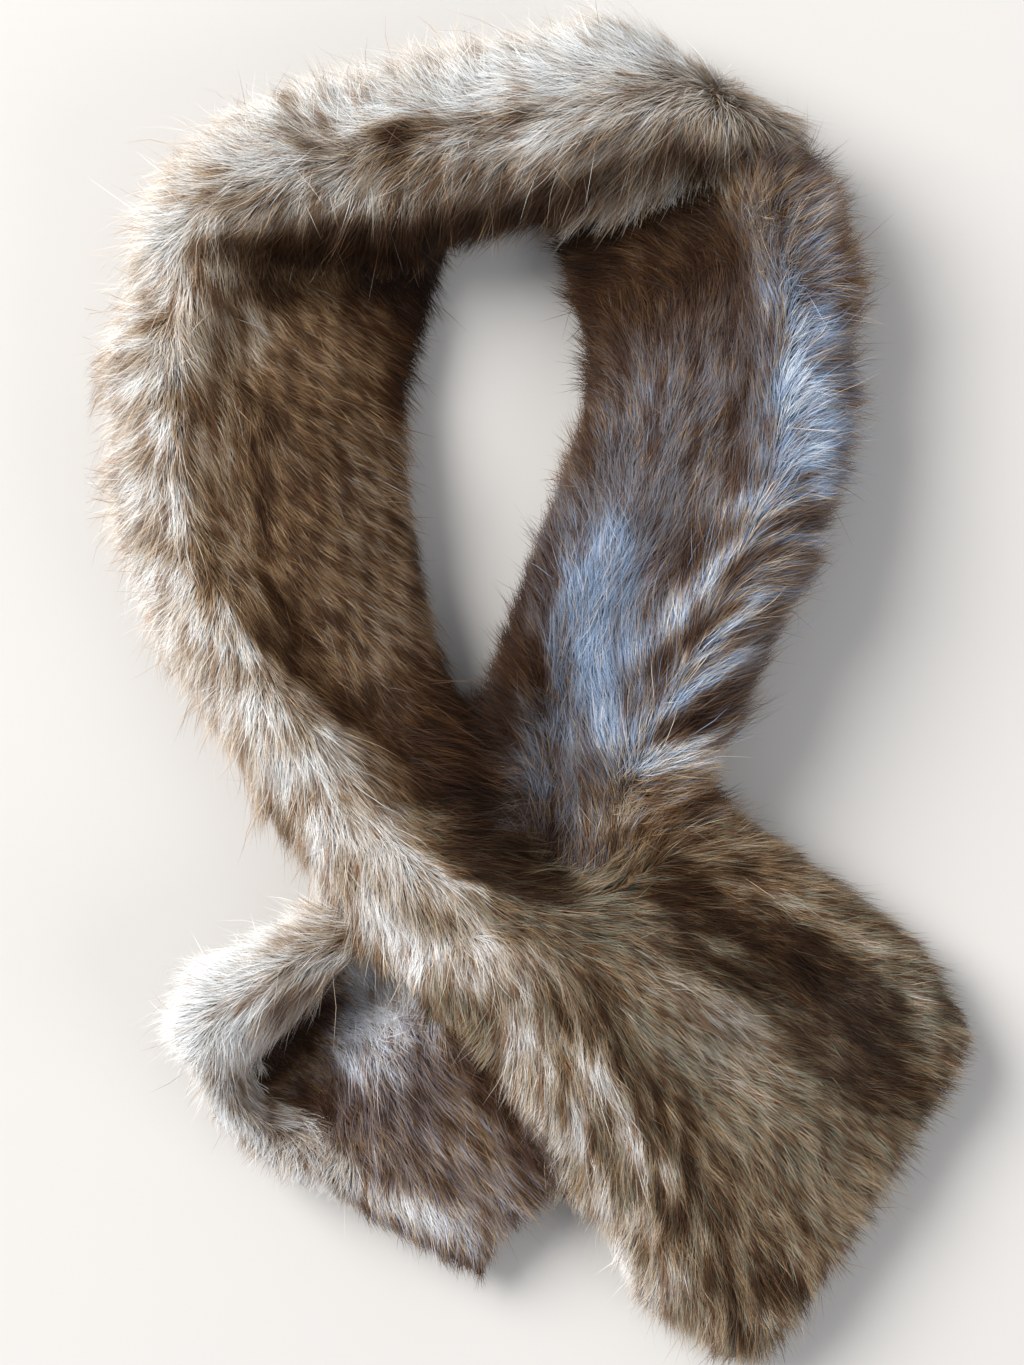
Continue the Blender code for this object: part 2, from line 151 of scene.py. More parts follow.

# Markings, also read off the photograph: rows of a patch's middle column and row, its half sizes
# along and across, all in the photograph's pixels, its angle in degrees clockwise, its tone in
# hundredths, and how much it weighs.
# Not every patch is a marking. The darkest ones are painted shade: under the back fold and along its
# hanging edge, along the neck opening's edge, in the crevice where the bands cross, and in the hollow
# under the rolled edge. Comments below point them out.
PATCHES = {
    "back_fold": [
        (480,88,150,24,-10,86,3), (250,150,130,40,-35,87,1), (580,62,110,34,-10,93,2.2),
        (400,137,22,12,25,6,5), (440,128,34,7,-8,35,2.2), (395,165,40,7,10,35,2.2),
        (620,78,34,7,16,46,2.2), (680,90,40,9,18,48,2.2), (545,118,26,7,20,46,2.2),
        (490,148,28,8,8,44,2.2), (440,150,26,12,5,83,2.2), (520,136,30,10,8,93,2.2),
        (585,140,26,18,-30,83,2.2), (705,110,26,12,10,80,2.2), (553,170,30,12,-20,64,2),
        (500,178,30,18,0,65,2), (650,160,30,16,0,65,2), (780,134,34,22,50,51,2.2),
        (352,160,22,14,20,51,2.2), (400,190,50,14,0,55,2), (322,150,16,34,-20,93,2.2),
        (350,112,36,16,-10,93,2.2), (290,110,40,7,60,60,2), (325,130,6,22,-30,57,2.2),
        (235,195,44,7,0,57,2.2), (250,212,40,7,5,53,2.2), (210,165,30,14,-30,88,2),
        (150,232,12,22,0,93,2), (300,225,50,12,-8,77,2), (470,205,50,16,-8,51,2.2),
        (540,200,30,12,-30,50,2), (615,185,45,12,-20,51,2), (715,72,20,8,30,60,2),
        # Painted shade along the hanging edge: (455,236), (530,214), (592,188), (655,166) and
        # (700,152).
        (455,236,46,11,-8,22,3), (530,214,34,11,-22,20,3), (592,188,34,9,-24,22,3),
        (655,166,34,9,-16,22,3), (700,152,24,8,-10,28,2.5), (380,216,10,16,-10,82,2.5),
        (418,205,12,12,-10,70,2), (560,118,16,10,10,84,2.2), (560,98,60,5,2,66,2.2),
        (480,118,50,6,-4,46,2.2), (605,80,20,6,30,60,2.5), (660,92,26,7,35,66,2.5),
        (215,172,20,5,0,50,2.2), (185,238,10,16,-10,50,2), (262,190,26,6,20,50,2.2),
        # Painted shade along the hanging edge: (330,258) and (720,165).
        (300,140,20,5,35,48,2), (330,258,60,9,-14,12,3.5), (720,165,40,10,-8,30,2.4),
        (700,130,40,12,15,72,2.2), (640,118,40,12,5,80,2), (770,120,26,14,45,72,2),
        # Painted shade along the hanging edge: (520,215).
        (735,85,40,12,35,72,2), (375,215,30,10,-10,74,2.2), (520,215,36,6,-12,30,2.4),
        # Painted shade along the hanging edge: (350,243).
        (575,80,60,14,-8,92,2.2), (175,230,24,22,0,87,2), (350,243,110,11,-7,12,4.5),
        (600,142,30,8,-20,50,2.2), (660,138,30,8,-10,50,2.2), (250,170,30,16,-20,86,2),
        (160,255,14,20,0,90,2), (470,140,40,8,10,80,2), (350,175,40,14,0,66,1.6), (690,95,24,8,10,84,2),
        (800,170,20,20,40,50,2), (676,74,26,12,18,70,1.2), (735,98,14,12,0,62,1.4),
        (480,128,30,10,0,72,1.2), (440,122,7,12,30,86,1.6), (545,120,6,10,30,90,1.6),
        (425,125,14,10,0,50,1), (225,222,24,12,-10,80,0.8), (625,172,20,12,-20,62,1.4),
        # Painted shade at the hanging edge, where the fold's tips hang into the shadow: (425,262) and
        # (375,268).
        (425,262,30,10,-8,6,3), (375,268,30,8,-8,5,3),
    ],
    "left_band": [
        (146,420,46,215,2,91,3.5), (204,385,34,95,0,79,4), (226,552,32,60,-15,64,3),
        (250,724,150,42,56,85,3), (345,855,70,48,50,87,3), (350,752,46,14,50,77,3),
        (305,700,40,16,50,66,2.5), (182,550,16,64,-8,88,3), (170,275,30,40,0,88,3),
        # Painted shade: (300,252), (365,262) and (418,320) under the back fold, and (428,560),
        # (435,735), (455,790) and (440,700) along the opening's edge into the crevice where the bands
        # cross.
        (300,252,115,13,-4,12,4), (365,262,40,20,25,6,4), (418,320,16,80,12,5,4),
        (428,560,10,150,8,32,2), (435,735,30,40,-30,28,2), (455,790,30,70,0,10,3),
        (440,700,18,40,0,22,2), (400,800,26,16,35,50,2.5), (165,262,26,16,0,93,2.5),
        (118,338,18,10,0,92,2.5), (116,388,20,10,0,93,2.5), (148,434,9,18,-10,92,2.5),
        (136,492,18,9,0,92,2.5), (160,582,18,12,20,92,2.5), (203,642,18,12,30,93,2.5),
        (250,650,10,10,-20,92,2.5), (262,712,24,10,25,93,2.5), (296,770,16,12,-30,94,3),
        (320,737,12,9,0,92,2.5), (230,612,12,8,30,92,2), (172,318,29.9,8.05,-8,57,3.5),
        (132,358,18.4,6.9,-5,66,3.5), (165,402,16.1,6.9,0,63,3.5), (131,420,10.35,10.35,0,66,3.5),
        (138,450,10.35,10.35,0,66,3.5), (160,467,20.7,6.9,10,61,3.5), (148,530,13.8,10.35,0,61,3.5),
        (165,550,25.3,6.9,8,61,3.5), (172,612,9.2,20.7,-20,65,3.5), (184,657,8.05,16.1,-20,63,3.5),
        (209,680,10.35,19.55,-14,59,3.5), (240,745,9.2,20.7,-20,59,3.5), (287,744,16.1,9.2,-10,65,3.5),
        (304,808,12.65,23,-10,59,3.5), (272,815,8.05,20.7,-20,63,3.5), (360,803,18.4,8.05,0,61,3.5),
        (235,672,20.7,8.05,20,65,3.5), (146,294,10,10,0,64,2.5), (195,468,6,6,0,8,3),
        (181,425,11,5,-40,22,2.5), (180,398,14,5,0,38,2.5), (200,575,6,26,-10,40,2.5),
        (262,396,10,22,-30,26,2), (268,425,14,13,-20,24,2), (262,492,13,8,-10,27,2),
        (268,556,10,7,0,30,2), (256,580,12,8,20,27,2), (250,608,9,11,-30,26,2), (262,635,9,20,-35,25,2),
        (300,668,9,20,-45,24,2), (285,650,8,12,-40,30,2), (345,708,20,9,40,22,2.5),
        (282,362,6,15,-20,38,1.6), (300,400,6,22,-20,38,1.6), (300,480,6,24,-10,32,2),
        (310,560,6,34,0,32,2), (300,615,8,22,-20,38,1.6), (330,430,5,22,-14,40,2),
        (325,505,5,20,-12,40,2), (335,600,5,26,-12,40,2), (360,640,5,22,-20,40,2),
        # Painted shade in the crevice where the bands cross: (385,725) and (430,770).
        (330,330,60,30,0,50,1), (385,725,34,20,40,26,3), (430,770,26,26,0,18,3),
        (385,775,24,14,40,50,2.2), (226,430,28,60,0,50,2.2), (220,330,34,30,-10,80,2.5),
        (262,330,20,14,0,66,2), (222,500,22,30,0,52,2), (232,560,20,30,-10,50,2),
        # Painted shade under the back fold: (230,275), (300,290), (380,290) and (425,285).
        (230,275,40,10,-8,30,3), (300,290,60,10,-4,28,3), (380,290,26,40,10,6,4),
        (425,285,16,50,10,5,4), (222,345,30,50,-4,76,1.6), (250,330,10,20,-20,80,2),
        (215,455,24,30,0,68,1.6), (228,540,20,24,-10,66,1.6), (252,600,16,22,-30,62,1.6),
        (245,395,5,16,-12,20,2.5), (252,460,5,18,-8,22,2.5), (262,520,5,16,-8,22,2.5),
        (275,600,5,20,-22,20,2.5), (300,640,6,20,-40,20,2.5), (340,450,4,12,-40,30,2),
        (300,440,4,12,-35,28,2), (370,480,4,12,-40,32,2), (365,580,4,12,-40,32,2),
        (335,620,4,12,-40,30,2), (390,520,4,10,-40,32,2), (290,360,4,12,-30,30,2),
        (345,340,4,10,-35,32,2), (172,625,18,40,-10,95,0.4), (205,690,20,30,-30,95,0.45),
        (240,730,20,30,-40,95,0.55), (285,785,20,30,-45,95,0.6), (228,340,20,40,-4,56,0.5),
        # Painted shade under the back fold: (325,272), (410,280) and (325,280).
        (225,385,16,24,0,56,0.5), (325,272,20,14,-4,30,0.8), (375,325,22,22,-20,56,0.5),
        (410,280,26,20,0,4,2), (325,280,22,14,-4,46,3.2),
    ],
    "right_band": [
        (802,400,40,110,0,84,3), (588,630,38,120,4,78,4), (640,520,50,70,20,66,2),
        # Painted shade under the back fold: (620,250) and (690,255), and (640,250), (590,320) and
        # (705,185) on the next row.
        (655,775,60,22,-12,72,2.5), (620,250,85,45,10,24,2.5), (690,255,45,40,0,16,2.5),
        (640,250,50,10,5,36,2), (590,320,24,60,10,8,4), (705,185,18,24,20,20,2.5),
        (745,185,16,30,-10,62,2.5), (812,460,18,34,0,86,2.5), (765,350,14,40,0,52,2),
        (806,275,26,12,10,38,3), (836,360,20,10,0,42,3), (846,390,10,18,0,55,2), (838,450,16,13,0,56,3),
        (820,512,26,13,0,38,3), (790,560,22,12,-10,42,3), (812,540,20,7,-10,80,2.5),
        (750,305,8,16,0,22,3), (752,372,7,20,10,26,3), (752,425,14,8,-30,24,3),
        (742,455,18,9,-50,18,3.5), (740,500,54.6,9.2,-18,22,4), (700,520,52.5,9.2,-42,16,4),
        (690,560,54.6,8.05,-40,20,4), (735,585,37.8,9.2,-40,22,4), (676,661,39.9,10.35,-41,12,4),
        (725,690,42,11.5,-32,22,4), (700,722,37.8,9.2,-15,24,4), (612,755,34.65,8.05,-28,22,4),
        (625,793,46.2,8.05,-16,20,4), (680,720,20,8,-30,40,2), (703,795,25.2,11.5,-10,26,4),
        (736,545,57.2,10,-42,93,4), (700,572,37.4,9,-35,93,4), (735,605,50.6,10,-28,93,4),
        (690,650,16,8,-20,70,2), (718,668,48.4,11.25,-32,93,4), (660,704,26.4,11.25,-38,93,4),
        (690,740,44,10,-28,93,4), (640,770,60,7,-12,84,3), (655,590,34,10,-40,70,2),
        # Painted shade at the opening's edge: (518,655).
        (590,580,30,44,20,80,2), (598,720,22,34,0,76,2), (518,655,14,40,-25,14,4),
        (520,730,22,40,0,42,2.5), (545,760,16,30,0,60,2), (500,800,26,24,0,44,2),
        # Painted shade in the crevice where the bands cross: (530,858).
        (530,858,44,14,0,12,3), (550,830,20,20,0,34,2), (585,850,30,8,-25,70,3),
        (620,830,50,8,-28,30,2.5), (640,815,55,7,-22,76,2.5), (690,765,30,8,-10,88,2),
        (600,560,26,30,10,83,2.5), (600,720,18,40,0,78,2.5), (640,600,10,40,20,80,2.5),
        (645,690,14,40,10,78,2.5), (660,760,30,8,-15,92,3), (625,740,20,14,0,86,2.5),
        (760,490,30,8,-20,86,3), (770,330,12,40,0,74,2), (826,250,18,30,0,70,2.5),
        (790,520,30,7,-8,34,3.5), (645,795,60,12,-18,72,2.5), (690,782,26,10,-10,62,2.2),
        (785,575,24,36,-20,50,2), (760,640,22,26,-30,50,1.8), (770,440,14,30,-10,76,2),
        # Painted shade: (480,725) in the crevice where the bands cross; (590,215) under the back fold,
        # and (670,215) and (640,300) on the next row on the band's upper inner face.
        (600,560,8,40,14,86,2), (603,690,8,44,0,87,2), (480,725,20,60,0,4,5), (590,215,50,24,0,10,3),
        (670,215,40,20,0,30,2.5), (640,300,50,26,0,28,2.2), (700,430,46,90,10,52,1.4),
        # Painted shade along the opening's edge: (600,400), (580,470) and (545,560), then (520,660) and
        # (530,600) below.
        (600,400,20,60,10,36,2.2), (580,470,24,40,15,30,2.2), (545,560,20,50,20,36,2.2),
        (555,640,16,60,-5,62,2), (520,660,14,36,-20,20,3.5), (760,560,20,10,-20,62,2.5),
        (700,640,60,40,40,50,0.8), (530,600,14,40,20,32,2.5), (825,440,14,18,0,92,2.5),
        (824,487,12,10,0,92,2.5), (575,500,24,24,20,46,2), (570,770,24,24,0,50,2.2),
        # Painted shade on the band's upper inner face: (640,330).
        (570,735,14,30,0,66,2), (680,600,24,16,-40,70,2), (640,330,40,40,0,26,2),
        (735,330,20,30,0,34,2), (575,560,12,40,14,84,2.2), (600,610,10,40,8,86,2.2),
        (580,660,8,30,0,88,2.2), (770,545,20,8,-30,88,3), (760,600,24,8,-30,80,3),
        (755,500,26,8,-20,90,3), (690,605,30,9,-38,88,3), (655,640,30,9,-40,86,2.5),
        (660,665,10,8,-40,30,2.5), (755,560,26,7,-30,30,3), (770,250,24,24,40,60,3),
        (795,310,16,40,-4,86,2), (800,395,18,40,-4,93,3), (740,205,14,26,-20,74,2.5),
        (700,610,8,8,0,40,2), (650,440,44,60,20,56,1.6), (660,370,26,26,0,56,1.8),
        (690,500,30,20,-40,60,1.8), (735,410,9,16,20,30,2.5), (700,350,7,20,20,34,2),
        (690,460,6,18,25,36,2), (720,460,6,16,30,34,2), (645,500,6,16,20,42,2), (620,450,6,14,15,44,2),
        (840,330,12,16,0,70,2), (828,205,14,22,0,66,2), (842,420,8,14,0,80,2),
        (725,255,20,36,-4,22,1.4), (775,330,10,26,0,50,1.4), (800,300,5,14,-30,50,2),
        (815,350,5,12,-30,55,2), (800,430,5,12,-30,55,2), (700,722,34,8,-15,20,2.5),
        (715,625,36,9,-28,14,1), (690,560,40,8,-40,18,1.2), (655,660,26,7,-40,30,2),
        (640,700,20,6,-40,50,2), (728,622,40,6,-35,95,1.6), (700,655,30,5,-35,90,2),
        (765,575,24,10,-30,72,1.5), (725,668,36,7,-32,95,2), (775,195,20,30,40,62,1),
        (525,775,16,20,0,62,1), (527,575,12,22,20,24,2.4), (575,525,14,20,15,50,1),
        (775,225,20,20,20,64,1.2), (822,325,10,16,0,92,1.4),
    ],
    "over_tail": [
        (400,835,50,24,40,82,3), (540,1130,200,30,62,80,1.6), (390,900,60,46,30,92,2),
        (745,1060,60,30,45,68,1.8), (560,925,40,26,20,42,2), (600,905,40,10,-10,60,2),
        # Painted shade in the crevice where the bands cross: (490,835).
        (490,835,34,34,10,26,3), (500,862,40,14,25,22,3), (530,885,50,12,10,14,3),
        (620,950,60,10,20,50,2), (600,880,20,10,-30,62,2), (655,835,16,16,-60,30,2.5),
        (640,860,22,14,-40,70,2), (680,862,26,14,20,20,2.4), (665,882,30,9,20,28,2.4),
        (715,893,22,8,26,30,2.2), (711,836,14,6,-20,20,2.2), (745,860,40,16,20,56,2),
        (700,885,10,22,-40,16,2.5), (748,872,7,14,-20,24,2.2), (722,868,7,14,-20,26,2.5),
        (765,900,8,18,-20,22,2.2), (790,905,7,18,-10,26,2.2), (812,925,8,18,-20,26,2.2),
        (905,950,8,18,-20,34,2.5), (930,975,8,20,-20,34,2.5), (905,1000,7,16,-10,34,2.5),
        (880,975,8,18,-20,30,2.5), (935,1020,8,20,-10,36,2.5), (925,1060,8,18,-20,36,2.5),
        (720,925,60,10,14,28,2.2), (706,958,34,7,18,30,2.5), (800,948,56,15,22,16,2.5),
        (812,985,56,17,24,20,2.5), (860,1018,48,22,35,24,2.5), (885,1060,44,24,55,22,2.5),
        (900,1100,30,14,20,30,2.5), (810,1035,44,14,30,30,2), (845,1080,44,12,30,36,2),
        (940,1080,16,20,40,40,2), (840,1110,40,10,25,44,1.5), (331,850,40,26,60,94,2.5),
        (318,900,22,16,60,84,2.5), (345,880,10,20,-10,62,2.5), (376,870,10,24,-10,62,3),
        (400,880,20,24,-30,94,3), (345,925,20,10,-20,66,2.5), (412,920,18,10,20,56,3.5),
        (440,925,16,9,10,58,3), (392,915,8,18,-20,60,3), (450,895,26,14,20,80,2.5),
        (488,948,12,24,-20,93,2.5), (470,920,16,10,20,62,2), (420,965,22,30,0,94,3),
        (506,1015,9,24,-30,56,3.5), (490,990,8,16,-30,66,2.5), (520,1042,12,24,-25,86,2.5),
        (548,970,16,34,-20,78,2.5), (580,975,10,24,-20,44,2.5), (540,1010,10,26,-20,72,2.5),
        (575,1030,14,40,-20,70,2.5), (550,1080,8,22,-20,84,2.2), (598,1080,12,30,-20,90,2.5),
        (598,1125,9,20,-20,56,3.5), (575,1150,12,24,-20,92,2.5), (635,1140,12,26,-20,86,2.5),
        (622,1185,9,24,-15,55,3.5), (600,1200,9,20,-20,86,2.5), (655,1170,12,26,-20,86,2.5),
        (640,1230,14,20,-15,76,2.5), (640,1262,10,16,-15,60,3), (625,1275,10,24,-20,94,2.5),
        (665,1290,20,20,-20,84,2), (700,1310,24,20,-10,66,2), (690,1345,20,14,0,76,2),
        (616,1035,6,40,-14,18,3), (600,1000,7,20,-20,30,3), (588,1035,7,20,-15,34,2.5),
        (640,1065,7,30,-25,26,2.2), (661,1112,7,28,-12,18,2.2), (640,1100,6,20,-10,36,2),
        (691,1170,7,22,-5,20,2.2), (668,1140,6,18,-20,30,2), (678,1225,10,20,-25,20,2.2),
        (725,1240,9,26,-10,16,2.2), (700,1200,7,20,-20,36,2.5), (740,1170,7,16,-25,36,2.5),
        (765,1283,10,26,-28,10,2.2), (795,1290,8,22,-35,18,2.2), (745,1330,12,18,-10,26,2.5),
        (730,1290,8,20,-20,30,2.5), (710,1275,7,20,-15,36,2.5), (775,1240,7,18,-30,32,2.5),
        (800,1225,7,18,-35,36,2.5), (775,1190,7,16,-35,40,2), (700,1135,7,18,-30,42,2),
        (720,1105,7,18,-30,46,2), (680,1090,7,18,-30,46,2), (430,878,60,16,30,88,2.5),
        (500,915,34,10,25,80,2.5), (470,905,20,6,20,60,2.5), (640,1085,8,30,-18,66,2),
        (585,1110,8,26,-18,74,2), (735,905,6,14,-20,56,2.5), (780,890,6,16,-20,62,2.5),
        (800,905,6,14,-15,62,2.5), (875,950,6,14,-20,60,2.5), (700,1000,40,14,30,68,2),
        # Painted shade in the crevice where the bands cross: (475,775), and (480,840) on the next row.
        (690,1060,40,12,40,64,1.8), (900,1085,34,10,30,44,2), (475,775,40,40,0,4,5),
        (480,840,40,26,20,16,3), (430,830,20,16,30,50,2.2), (525,925,30,20,30,44,2.5),
        (560,950,20,16,30,56,2), (730,1010,40,16,35,74,1.8), (760,940,60,12,24,26,2.5),
        (700,920,40,10,20,26,2.5), (880,1010,40,12,40,28,2.5), (850,905,50,12,28,62,1.6),
        (920,980,20,30,-10,60,1.6), (860,950,5,12,-20,30,2.5), (900,965,5,12,-20,30,2.5),
        (785,870,5,10,-20,34,2.5), (835,900,5,10,-20,34,2.5), (950,1010,6,14,-20,40,2.5),
        (860,1090,40,12,40,20,2), (450,1000,14,30,-20,60,2), (470,985,20,12,30,90,2.2),
        (380,925,24,20,30,92,2), (740,980,50,11,22,30,3), (820,1032,60,13,30,28,2.5),
        (842,1078,50,12,35,28,2.5), (720,1125,40,10,30,50,2), (830,1130,50,10,35,44,2),
        (620,1040,8,36,-15,40,2.5), (640,1080,8,26,-15,42,2.5), (735,1200,30,12,50,46,2),
        (905,1085,30,8,35,16,3), (840,1000,60,6,30,10,3), (790,960,50,5,24,8,3),
        (870,1045,40,5,40,10,3), (760,985,40,5,26,20,3), (900,1010,5,12,-20,14,2.5),
        (860,985,5,12,-20,14,2.5), (700,855,30,6,10,62,2.2), (735,885,40,6,22,62,2.2),
        (800,905,40,6,26,66,2), (870,940,30,6,30,66,2), (920,1000,8,24,-10,66,2),
        (935,1040,8,20,0,62,2), (655,895,40,7,24,20,3), (630,860,30,8,10,20,2.5),
        (590,1010,8,36,-20,50,2), (535,985,7,24,-20,50,2), (400,890,40,24,30,70,0.35),
        (428,925,20,16,20,60,0.6), (478,1025,14,30,-20,50,0.9), (528,1080,12,26,-20,66,0.8),
        (578,1175,12,26,-20,60,1.4), (625,872,34,16,10,62,0.8), (525,972,18,22,-10,86,0.8),
        (872,922,30,12,26,42,0.7), (775,1322,30,14,-10,72,1.2), (745,1262,30,14,50,56,0.9),
        (700,1250,14,24,-20,62,0.8), (630,905,50,9,14,56,1.5), (690,940,7,20,-20,20,2),
        (780,955,7,18,-20,22,2), (840,975,7,16,-20,12,2), (700,985,8,16,-20,50,1.5),
        (780,1010,8,16,-20,46,1.5), (560,1010,5,26,-20,30,2), (650,1140,5,24,-14,34,2),
        (600,1150,5,22,-18,42,2), (560,1110,5,20,-20,40,2), (660,1200,5,20,-12,36,2),
        (690,1120,6,16,-25,30,2), (720,1160,6,16,-25,30,2), (750,1110,6,14,-28,42,2),
        (790,1140,6,14,-28,40,2), (575,1125,10,18,-18,90,1.2), (485,1075,8,24,-15,42,1.5),
    ],
    "under_tail": [
        (400,990,60,26,40,92,3), (372,1042,34,26,30,87,3), (440,1040,34,22,30,60,2.5),
        # Painted shade in the hollow under the rolled edge: (290,1040) and (251,1075).
        (350,1010,16,26,20,90,2.5), (290,1040,48,14,-42,5,4), (251,1075,28,18,-20,8,4),
        (330,1095,30,12,10,36,2.5), (487,1075,12,40,-14,12,3.5), (470,1120,26,12,30,60,2),
        (440,1150,24,10,30,64,2.2), (350,1130,22,20,-20,42,2), (380,1160,26,10,30,55,2),
        (310,1110,20,14,20,26,2.5), (470,1165,40,7,40,70,2.5), (500,1205,34,7,35,70,2.5),
        (450,1195,24,8,30,42,2.5), (530,1160,14,30,-20,30,2.5), (545,1190,12,20,-20,40,2),
        (401,1209,12,20,-20,60,2.2), (360,1185,26,9,35,74,2.5), (281,1115,26,8,40,45,2.5),
        (430,1222,34,8,28,84,2.5), (480,1250,36,9,30,66,2.5), (500,1105,10,28,-24,24,3),
        (465,1045,12,26,-24,26,2.5), (345,1060,7,26,-40,96,2), (400,1075,26,6,35,84,1.6),
        (415,1010,30,6,45,88,2), (420,1100,8,16,-20,30,2), (380,1110,6,14,-20,34,2),
        (430,1075,30,14,30,44,2.2), (450,1130,30,12,30,42,2), (365,1200,30,8,30,86,2),
        (385,975,20,12,20,94,2.5), (378,1022,16,16,0,95,1.2), (475,1075,12,20,-14,30,2),
        (428,1222,36,14,28,92,1.6), (478,1228,30,14,28,74,1.2), (375,972,20,8,20,82,1.2),
        (475,1175,24,10,30,42,1), (475,1075,10,18,-14,20,1.4),
    ],
    "rolled_edge": [
        (215,985,80,44,-40,93,2), (322,938,22,10,-25,64,3), (355,945,20,16,0,50,2.5),
        (275,985,34,7,-35,74,2), (312,990,44,9,-35,52,3), (330,960,40,8,-30,72,2),
        (200,1060,22,14,0,93,2), (225,1100,22,10,30,90,2.5), (250,1120,26,7,35,50,2.5),
        (215,1050,10,22,0,82,2), (255,1115,40,10,40,70,2.5), (235,1130,30,6,40,90,2.5),
        (300,1185,40,6,36,90,2.5), (325,925,26,12,-30,86,2), (322,972,26,10,-30,90,1.2),
        (278,1022,20,12,-30,64,1), (225,1125,20,14,40,95,1), (296,932,20,4,-30,68,1.6),
        (270,945,20,4,-35,66,2), (245,1000,22,5,-45,62,2), (285,1010,18,5,-30,50,2.2),
        (215,1010,12,4,-50,70,2), (322,935,12,4,-20,74,1.2), (210,1075,12,4,40,72,1.4),
        (240,1095,14,4,45,70,1.4), (270,1130,16,5,40,60,1.6),
    ],
}

# The same for the share of warm strands among the cool ones, also in hundredths.
WARMTH = {
    "back_fold": [
        (200,220,60,60,0,75,3), (330,240,120,20,-6,90,3), (560,200,120,14,-14,80,2.5),
        (400,140,40,16,10,70,2), (800,150,30,40,0,50,2),
    ],
    "left_band": [
        (145,440,26,220,0,60,3), (300,750,120,30,55,60,2.5), (375,560,50,130,-8,62,1.6),
    ],
    "over_tail": [
        (520,870,50,30,20,25,2.5), (760,1060,120,60,42,30,2), (880,1000,60,40,40,20,2),
        (700,860,60,26,20,80,3), (860,900,80,22,30,55,2), (600,915,70,26,10,35,2),
        (520,975,20,24,-10,50,1.6), (875,1100,40,40,30,40,1.6), (725,1040,90,50,40,35,1.4),
    ],
    # Low warm shares here let the right band's blues show, which are painted cool skylight and shade on
    # its slope.
    "right_band": [
        (640,240,90,70,0,95,4), (700,400,60,110,10,20,3), (590,620,60,130,5,2,4),
        (845,250,34,70,-6,85,3.5), (850,400,16,120,0,80,3.5), (825,520,40,30,0,85,3.5),
        (680,810,70,40,-15,90,3.5), (518,660,13,50,-20,85,3), (590,400,16,80,10,80,3),
        (790,400,30,110,0,12,3), (480,740,18,50,0,90,3), (555,780,40,50,0,12,3), (610,255,80,60,0,95,3),
        (660,240,60,50,0,85,2.5), (725,670,40,60,-30,42,1.2), (730,620,16,12,0,70,1),
    ],
    "under_tail": [
        (370,1050,50,50,0,10,3), (270,1060,40,40,0,80,3), (490,1090,40,40,0,70,2.5),
        (420,970,40,20,20,60,2.5), (520,1125,30,30,30,35,1.4),
    ],
    "rolled_edge": [
        (330,935,50,20,-30,80,3), (190,1010,40,40,0,15,3),
    ],
}

COATS = {
    "back_fold": Coat(0.78, 0.10, 0.32, 0.0150, 0.35, (0.28, 0.16), "folded", "outer_fur"),
    # The left band's low base tone is partly its own tan and partly painted shade on its inner face.
    "left_band": Coat(0.47, 0.09, 0.40, 0.0100, 0.95, (0.26, 0.24), "laid", "left_fur"),
    "over_tail": Coat(0.56, 0.11, 0.40, 0.0095, 0.58, (0.32, 0.24), "laid", "outer_fur"),
    "right_band": Coat(0.50, 0.10, 0.32, 0.0150, 0.40, (0.28, 0.30), "laid", "right_fur"),
    "under_tail": Coat(0.50, 0.14, 0.28, 0.0120, 0.50, (0.20, 0.17), "laid", "under_fur"),
    "rolled_edge": Coat(0.78, 0.12, 0.24, 0.0120, 0.35, (0.12, 0.10), "folded", "outer_fur"),
}
KINDS = (
    Strand("wisp", 36000, 3, 1.5, 0.20, 10, 0.05, 0.20, 0.60, 0.80),
    Strand("guard", 420000, 2, 1.08, 0.20, 3, 0.24, 0.07, 0.42, 0.00),
    Strand("pile", 850000, 2, 0.85, 0.20, 8, 0.20, 0.05, 0.32, 0.00),
    Strand("down", 800000, 1, 0.50, 0.50, 16, 0.10, 0.00, 0.22, 0.00),
)
# How wide a ribbon of so many segments is at each of its rows, as a share of its full width.
TAPERS = {1: (1.0, 0), 2: (1.0, 0.9, 0), 3: (0.8, 0.9, 0.7, 0)}

